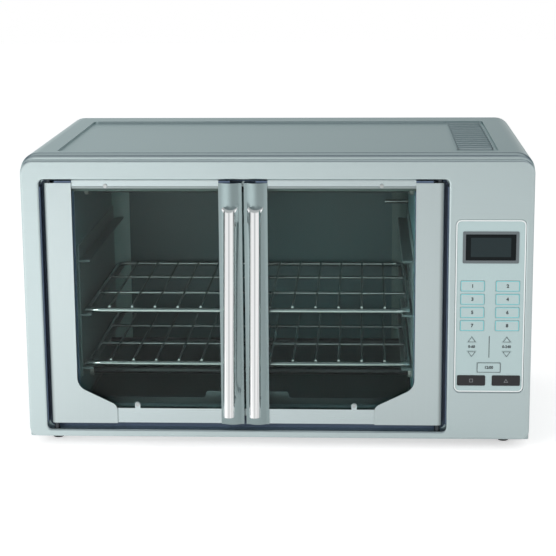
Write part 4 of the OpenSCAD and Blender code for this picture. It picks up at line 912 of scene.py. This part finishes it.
def add_corner(name, x, inward):
    """A quarter of a hollow cylinder. Inward is the way to the middle along x, 1 or -1."""
    piece = start_piece(name, bpy.ops.mesh.primitive_cylinder_add, vertices=CORNER_SIDES,
                        radius=CORNER_R, depth=corner_height, end_fill_type="NOTHING",
                        location=(x + inward * CORNER_R, corner_y, corner_z))
    bpy.ops.object.mode_set(mode="EDIT")
    bpy.ops.mesh.select_all(action="DESELECT")
    bpy.ops.object.mode_set(mode="OBJECT")
    for face in piece.data.polygons:
        face.select = face.normal.x * inward > 0 or face.normal.y < 0
    bpy.ops.object.mode_set(mode="EDIT")
    bpy.ops.mesh.delete(type="FACE")
    bpy.ops.mesh.select_all(action="SELECT")
    bpy.ops.mesh.flip_normals()
    bpy.ops.object.mode_set(mode="OBJECT")
    solidify(piece, -CORNER_T)
    bpy.ops.object.shade_smooth_by_angle()
    return piece


# Both colours are painted light: the left corner is much paler than the right.
for side, x, inward, colour in (("left", guides_low.x, 1, (0.30, 0.43, 0.42)),
                                ("right", guides_high.x, -1, (0.09, 0.14, 0.14))):
    painted_light_corner_enamel = moulded(f"{side} corner enamel", colour, 0.35, shade=0.15, spread=0.04,
                            depth=0.0)
    settle(add_corner(f"cavity_corner_{side}", x, inward), painted_light_corner_enamel, "oven_body")
print("rear corners of radius", CORNER_R / MM)

# %% [markdown]
# ## Door edges round the glass
# Behind the top of each pane runs a narrow channel that holds it, seen through the glass as a
# dull green line. In front of it the rail's edge is folded back on itself, as a hem whose darker,
# greyer steel is painted shade, where the edge rounds down. A low crest along the top of the rail
# fills the groove above the door. All three are strips with rounded edges, so one loop makes them
# for both doors.

# %% Glass channels, hems and crests
CHANNEL_H = 4.0 * MM
CHANNEL_T = 0.8 * MM
CHANNEL_END = 1 * MM
CHANNEL_LAP = 1 * MM
HEM_H = 2.6 * MM
HEM_T = 0.5 * MM
CREST_T = 1.6 * MM
CREST_LAP = 0.6 * MM
CREST_CLEAR = 0.2 * MM
FOLD_ROUND = 0.35 * MM
RAIL_H = 8.8 * MM
TRIM_LAP = 19 * MM
STILE_LAP = 13 * MM
channel_green = moulded("channel green", (0.075, 0.115, 0.105), 0.5, shade=0.1)
# The hem's darker grey is painted shade.
painted_shade_hem_steel = metal("hem steel", (0.36, 0.42, 0.42), 0.3, ALONG_X)
for side, laps in (("left", (TRIM_LAP, STILE_LAP)), ("right", (STILE_LAP, TRIM_LAP))):
    rails_low, rails_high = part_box(f"{side}_door_rails")
    glass_low, glass_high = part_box(f"{side}_door_glass")
    rail_bottom = rails_high.z - RAIL_H
    left, right = rails_low.x + laps[0], rails_high.x - laps[1]
    channel = add_block(f"{side}_glass_channel",
                        (glass_low.x + CHANNEL_END, glass_high.y, rail_bottom - CHANNEL_H),
                        (glass_high.x - CHANNEL_END, glass_high.y + CHANNEL_T,
                         rail_bottom + CHANNEL_LAP))
    hem = add_block(f"{side}_rail_hem", (left, rails_low.y - HEM_T, rail_bottom),
                    (right, rails_low.y + HEM_T, rail_bottom + HEM_H))
    crest = add_block(f"{side}_rail_crest", (left, rails_low.y, rails_high.z - CREST_LAP),
                      (right, rails_low.y + CREST_T, groove_z[1] - CREST_CLEAR))
    for piece, finish in ((channel, channel_green), (hem, painted_shade_hem_steel), (crest, rail_steel)):
        round_edges(piece, FOLD_ROUND, 3)
        settle(piece, finish, f"{side}_door")
print("rail bottom at z =", round(rail_bottom, 4))

# %% [markdown]
# ## Door stops
# Over each trim and each handle stile sits a soft dark stop, which closes the gap to the top of
# the groove. Its dark colour is painted shade, for the shadow in that gap. It is a block with
# rounded edges, and it swings with the door. The doors are mirror images of each other, but a
# mirrored mesh would turn inside out, so each stop is placed by its own two ends instead.

# %% Door stops
STOP_T = 2.0 * MM
STOP_CLEAR = 0.1 * MM
STOP_ROUND = 0.4 * MM
for side in ("left", "right"):
    rails_low, rails_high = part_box(f"{side}_door_rails")
    stile_low, stile_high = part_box(f"{side}_handle_stile")
    spans = {"trim": (rails_low.x, rails_low.x + TRIM_LAP), "stile": (stile_low.x, rails_high.x)}
    if side == "right":
        spans = {"trim": (rails_high.x - TRIM_LAP, rails_high.x),
                 "stile": (rails_low.x, stile_high.x)}
    for place, (left, right) in spans.items():
        stop = add_block(f"{side}_{place}_stop",
                         (left, rails_low.y - STOP_T, stile_high.z + STOP_CLEAR),
                         (right, rails_low.y - STOP_CLEAR, rails_high.z - STOP_CLEAR))
        round_edges(stop, STOP_ROUND, 2)
        settle(stop, painted_shade_rubber, f"{side}_door")
print("stops are", round((rails_high.z - stile_high.z) / MM, 2), "mm high")

# %% [markdown]
# ## Baffles in the louvres
# Behind the mouth of each louvre stands a low strip of sheet that keeps crumbs and drips out. An
# Array modifier would make the row as one piece. One strip is made and copied instead, with its
# own mesh each time, because on the oven every louvre has its own.

# %% Louvre baffles
LOUVRE_COUNT = 14
LOUVRE_PITCH = 17.6 * MM
LOUVRE_X = HALF_W - 63 * MM
FIRST_LOUVRE_Y = FACE_Y + 53 * MM
FIELD_Z = CASE_TOP - 2.4 * MM
BAFFLE_LEN = 38 * MM
BAFFLE_Y = (FIRST_LOUVRE_Y - 1.2 * MM, FIRST_LOUVRE_Y - 0.8 * MM)
BAFFLE_Z = (FIELD_Z - 0.8 * MM, FIELD_Z + 1.1 * MM)
BAFFLE_ROUND = 0.15 * MM
baffle = add_block("louvre_baffle_1", (LOUVRE_X - BAFFLE_LEN / 2, BAFFLE_Y[0], BAFFLE_Z[0]),
                   (LOUVRE_X + BAFFLE_LEN / 2, BAFFLE_Y[1], BAFFLE_Z[1]))
round_edges(baffle, BAFFLE_ROUND, 2)
baffle_grey = moulded("baffle grey", (0.42, 0.50, 0.52), 0.45, shade=0.06)
settle(baffle, baffle_grey, "oven_body")
for i in range(1, LOUVRE_COUNT):
    copy = baffle.copy()
    copy.data = baffle.data.copy()
    copy.name = copy.data.name = f"louvre_baffle_{i + 1}"
    bpy.context.scene.collection.objects.link(copy)
    copy.data.transform(Matrix.Translation((0, i * LOUVRE_PITCH, 0)))
    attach(copy, "oven_body")
print("baffles:", LOUVRE_COUNT)

# %% [markdown]
# ## Straight front bars on the racks
# The front bar of each rack is one straight wire that runs past the side wires, which are welded
# on top of it. A round bar lies over the bent outer wire, with a rounded tip at each end, where
# the real wire is cut and tumbled smooth. Each bar rides on its rack and slides out with it.

# %% Rack front bars
RACK_WIRE_R = 2.4 * MM
RACK_WIRE_SIDES = 20
RACK_TIP_ROUND = RACK_WIRE_R * 0.6
ACROSS = (0, math.radians(90), 0)
for node in ("upper_rack", "lower_rack"):
    low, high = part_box(node)
    bar = start_piece(f"{node}_front_bar", bpy.ops.mesh.primitive_cylinder_add,
                      vertices=RACK_WIRE_SIDES, radius=RACK_WIRE_R, depth=high.x - low.x,
                      location=((low.x + high.x) / 2, low.y + RACK_WIRE_R, low.z + RACK_WIRE_R),
                      rotation=ACROSS)
    round_edges(bar, RACK_TIP_ROUND, 3)
    bpy.ops.object.shade_smooth_by_angle()
    settle(bar, highlight_bar_chrome, node)
print("rack bars", [round(v, 4) for v in bar.dimensions])

# %% [markdown]
# ## The studio
# Polished metal has hardly any colour of its own: what it shows is the room. So the room is
# planned as a still-life photographer would plan it, with a white floor and white walls low down,
# a grey zone in front, where the camera stands, a soft box overhead and shade between them. The
# rolled edges of the case then carry dark lines with a light one between, the tubes of the
# handles get white bands, and flat faces stay even. Only mirrors see these tones. The camera
# sees a plain white backdrop, and the soft light that falls on dull surfaces is plain and even.
# A Light Path node tells these rays apart.

# %% Room tones
WHITE = (1.0, 1.0, 1.0)
SHADE = (0.10, 0.115, 0.165)
OVERHEAD = (0.62, 0.64, 0.65)
BEHIND_TONES = [(0.0, (0.95, 0.96, 0.96)), (0.10, (0.68, 0.74, 0.74)), (0.22, (0.42, 0.50, 0.50)),
                (0.40, (0.30, 0.36, 0.38)), (0.56, SHADE), (0.70, SHADE), (0.86, OVERHEAD)]
FRONT_TONES = [(0.0, (0.74, 0.75, 0.75)), (0.25, (0.48, 0.50, 0.52)), (0.50, SHADE),
               (0.72, SHADE), (0.88, OVERHEAD)]
SIDE_TONES = [(0.0, WHITE), (0.35, (0.85, 0.86, 0.87)), (0.60, (0.30, 0.32, 0.36)),
              (0.88, OVERHEAD)]


def ray_masks(tree):
    """1 for the camera's own rays, and 1 for rays that come off metal or through glass."""
    path = add_node(tree, "ShaderNodeLightPath").outputs
    return path["Is Camera Ray"], maths(tree, "MAXIMUM", path["Is Glossy Ray"],
                                        path["Is Transmission Ray"])


print("tones behind, in front and beside:", len(BEHIND_TONES), len(FRONT_TONES), len(SIDE_TONES))

# %% [markdown]
# ### Floor
# The floor is a pale plane that glows for the camera, so that it runs into the backdrop without
# an edge, and still takes the oven's shadow. Mirrors see it glow too, but less towards the right
# and far in front, which keeps the lower edges of the case from turning white all along.

# %% Floor
FLOOR_SIZE = 12
FLOOR_GLOW = 0.50
GLOW_ACROSS = (-0.45, 0.36, 1.0, 0.15)
GLOW_AWAY = (-2.2, -0.4, 0.6, 1.0)
floor = start_piece("studio_floor", bpy.ops.mesh.primitive_plane_add, size=FLOOR_SIZE,
                    location=(0, 0, 0))
floor_material, floor_tree, floor_shader = new_material(
    "studio floor", Base_Color=(0.86, 0.86, 0.86, 1), Roughness=0.8,
    Emission_Color=(1, 1, 1, 1))
to_camera, mirrored = ray_masks(floor_tree)
floor_place = axes(floor_tree, coordinates(floor_tree)["Object"])
fade = maths(floor_tree, "MULTIPLY", map_range(floor_tree, floor_place["X"], *GLOW_ACROSS),
             map_range(floor_tree, floor_place["Y"], *GLOW_AWAY))
glow = maths(floor_tree, "MAXIMUM", to_camera, maths(floor_tree, "MULTIPLY", fade, mirrored))
floor_tree.links.new(maths(floor_tree, "MULTIPLY", glow, FLOOR_GLOW),
                     floor_shader.inputs["Emission Strength"])
floor.data.materials.append(floor_material)
print("floor", FLOOR_SIZE, "m wide, glowing at", FLOOR_GLOW)

# %% [markdown]
# ### World
# The world's colour depends on the direction of a ray. Its height picks a tone from a ramp, its
# share of sideways travel blends the front of the room into the side walls, and its way along Y
# blends the front half into the half behind. An image of a real studio would do the same, but
# with ramps every zone can be moved until the reflections sit right.

# %% World
EVEN_LIGHT = (0.62, 0.62, 0.62)
SIDE_SHARE = [(0.16, 0.0), (0.36, 1.0), (0.90, 1.0), (0.99, 0.3)]
BEHIND_SHARE = [(0.45, 0.0), (0.60, 1.0)]
LEFT_TO_RIGHT = (-0.20, 0.12, 1.15, 0.85)
world = bpy.data.worlds.new("studio")
bpy.context.scene.world = world
world.use_nodes = True
room = world.node_tree
direction = axes(room, coordinates(room)["Generated"])
x_squared, y_squared = (maths(room, "MULTIPLY", direction[axis], direction[axis])
                        for axis in ("X", "Y"))
level = maths(room, "SQRT", maths(room, "ADD", x_squared, y_squared))
sideways = maths(room, "DIVIDE", maths(room, "ABSOLUTE", direction["X"]), level)
backwards = maths(room, "ADD", maths(room, "MULTIPLY", direction["Y"], 0.5), 0.5)
front_room = mix_colours(room, ramp(room, sideways, SIDE_SHARE),
                         ramp(room, direction["Z"], FRONT_TONES),
                         ramp(room, direction["Z"], SIDE_TONES))
behind_room = scale_colour(room, ramp(room, direction["Z"], BEHIND_TONES),
                           map_range(room, direction["X"], *LEFT_TO_RIGHT))
mirrored_room = mix_colours(room, ramp(room, backwards, BEHIND_SHARE), front_room, behind_room)
to_camera, mirrored = ray_masks(room)
plain_room = mix_colours(room, to_camera, EVEN_LIGHT, WHITE)
room.links.new(mix_colours(room, mirrored, plain_room, mirrored_room),
               room.nodes["Background"].inputs["Color"])
print("the room's tones change with direction, for mirrors only")

# %% [markdown]
# ### Lamps
# The world alone would light the oven from all sides alike, and its forms would go flat. A large
# soft lamp from the front left gives the shadow, and a weak one from the right opens it up. Both
# are hidden from mirrors, which already see the room.

# %% Lamps
LAMP_AIM = Vector((0, 0, 0.15))


def add_lamp(name, place, size, power):
    """A soft rectangular lamp that looks at the oven."""
    lamp = bpy.data.objects.new(name, bpy.data.lights.new(name, "AREA"))
    bpy.context.scene.collection.objects.link(lamp)
    lamp.data.shape = "RECTANGLE"
    lamp.data.size, lamp.data.size_y = size
    lamp.data.energy = power
    lamp.visible_glossy = False
    lamp.location = place
    lamp.rotation_euler = (LAMP_AIM - Vector(place)).to_track_quat("-Z", "Y").to_euler()


add_lamp("key lamp", (-1.4, -1.9, 0.9), (1.4, 1.0), 26)
add_lamp("fill lamp", (1.6, -1.2, 1.0), (1.0, 1.0), 6)
print("lamps:", len(bpy.data.lights))
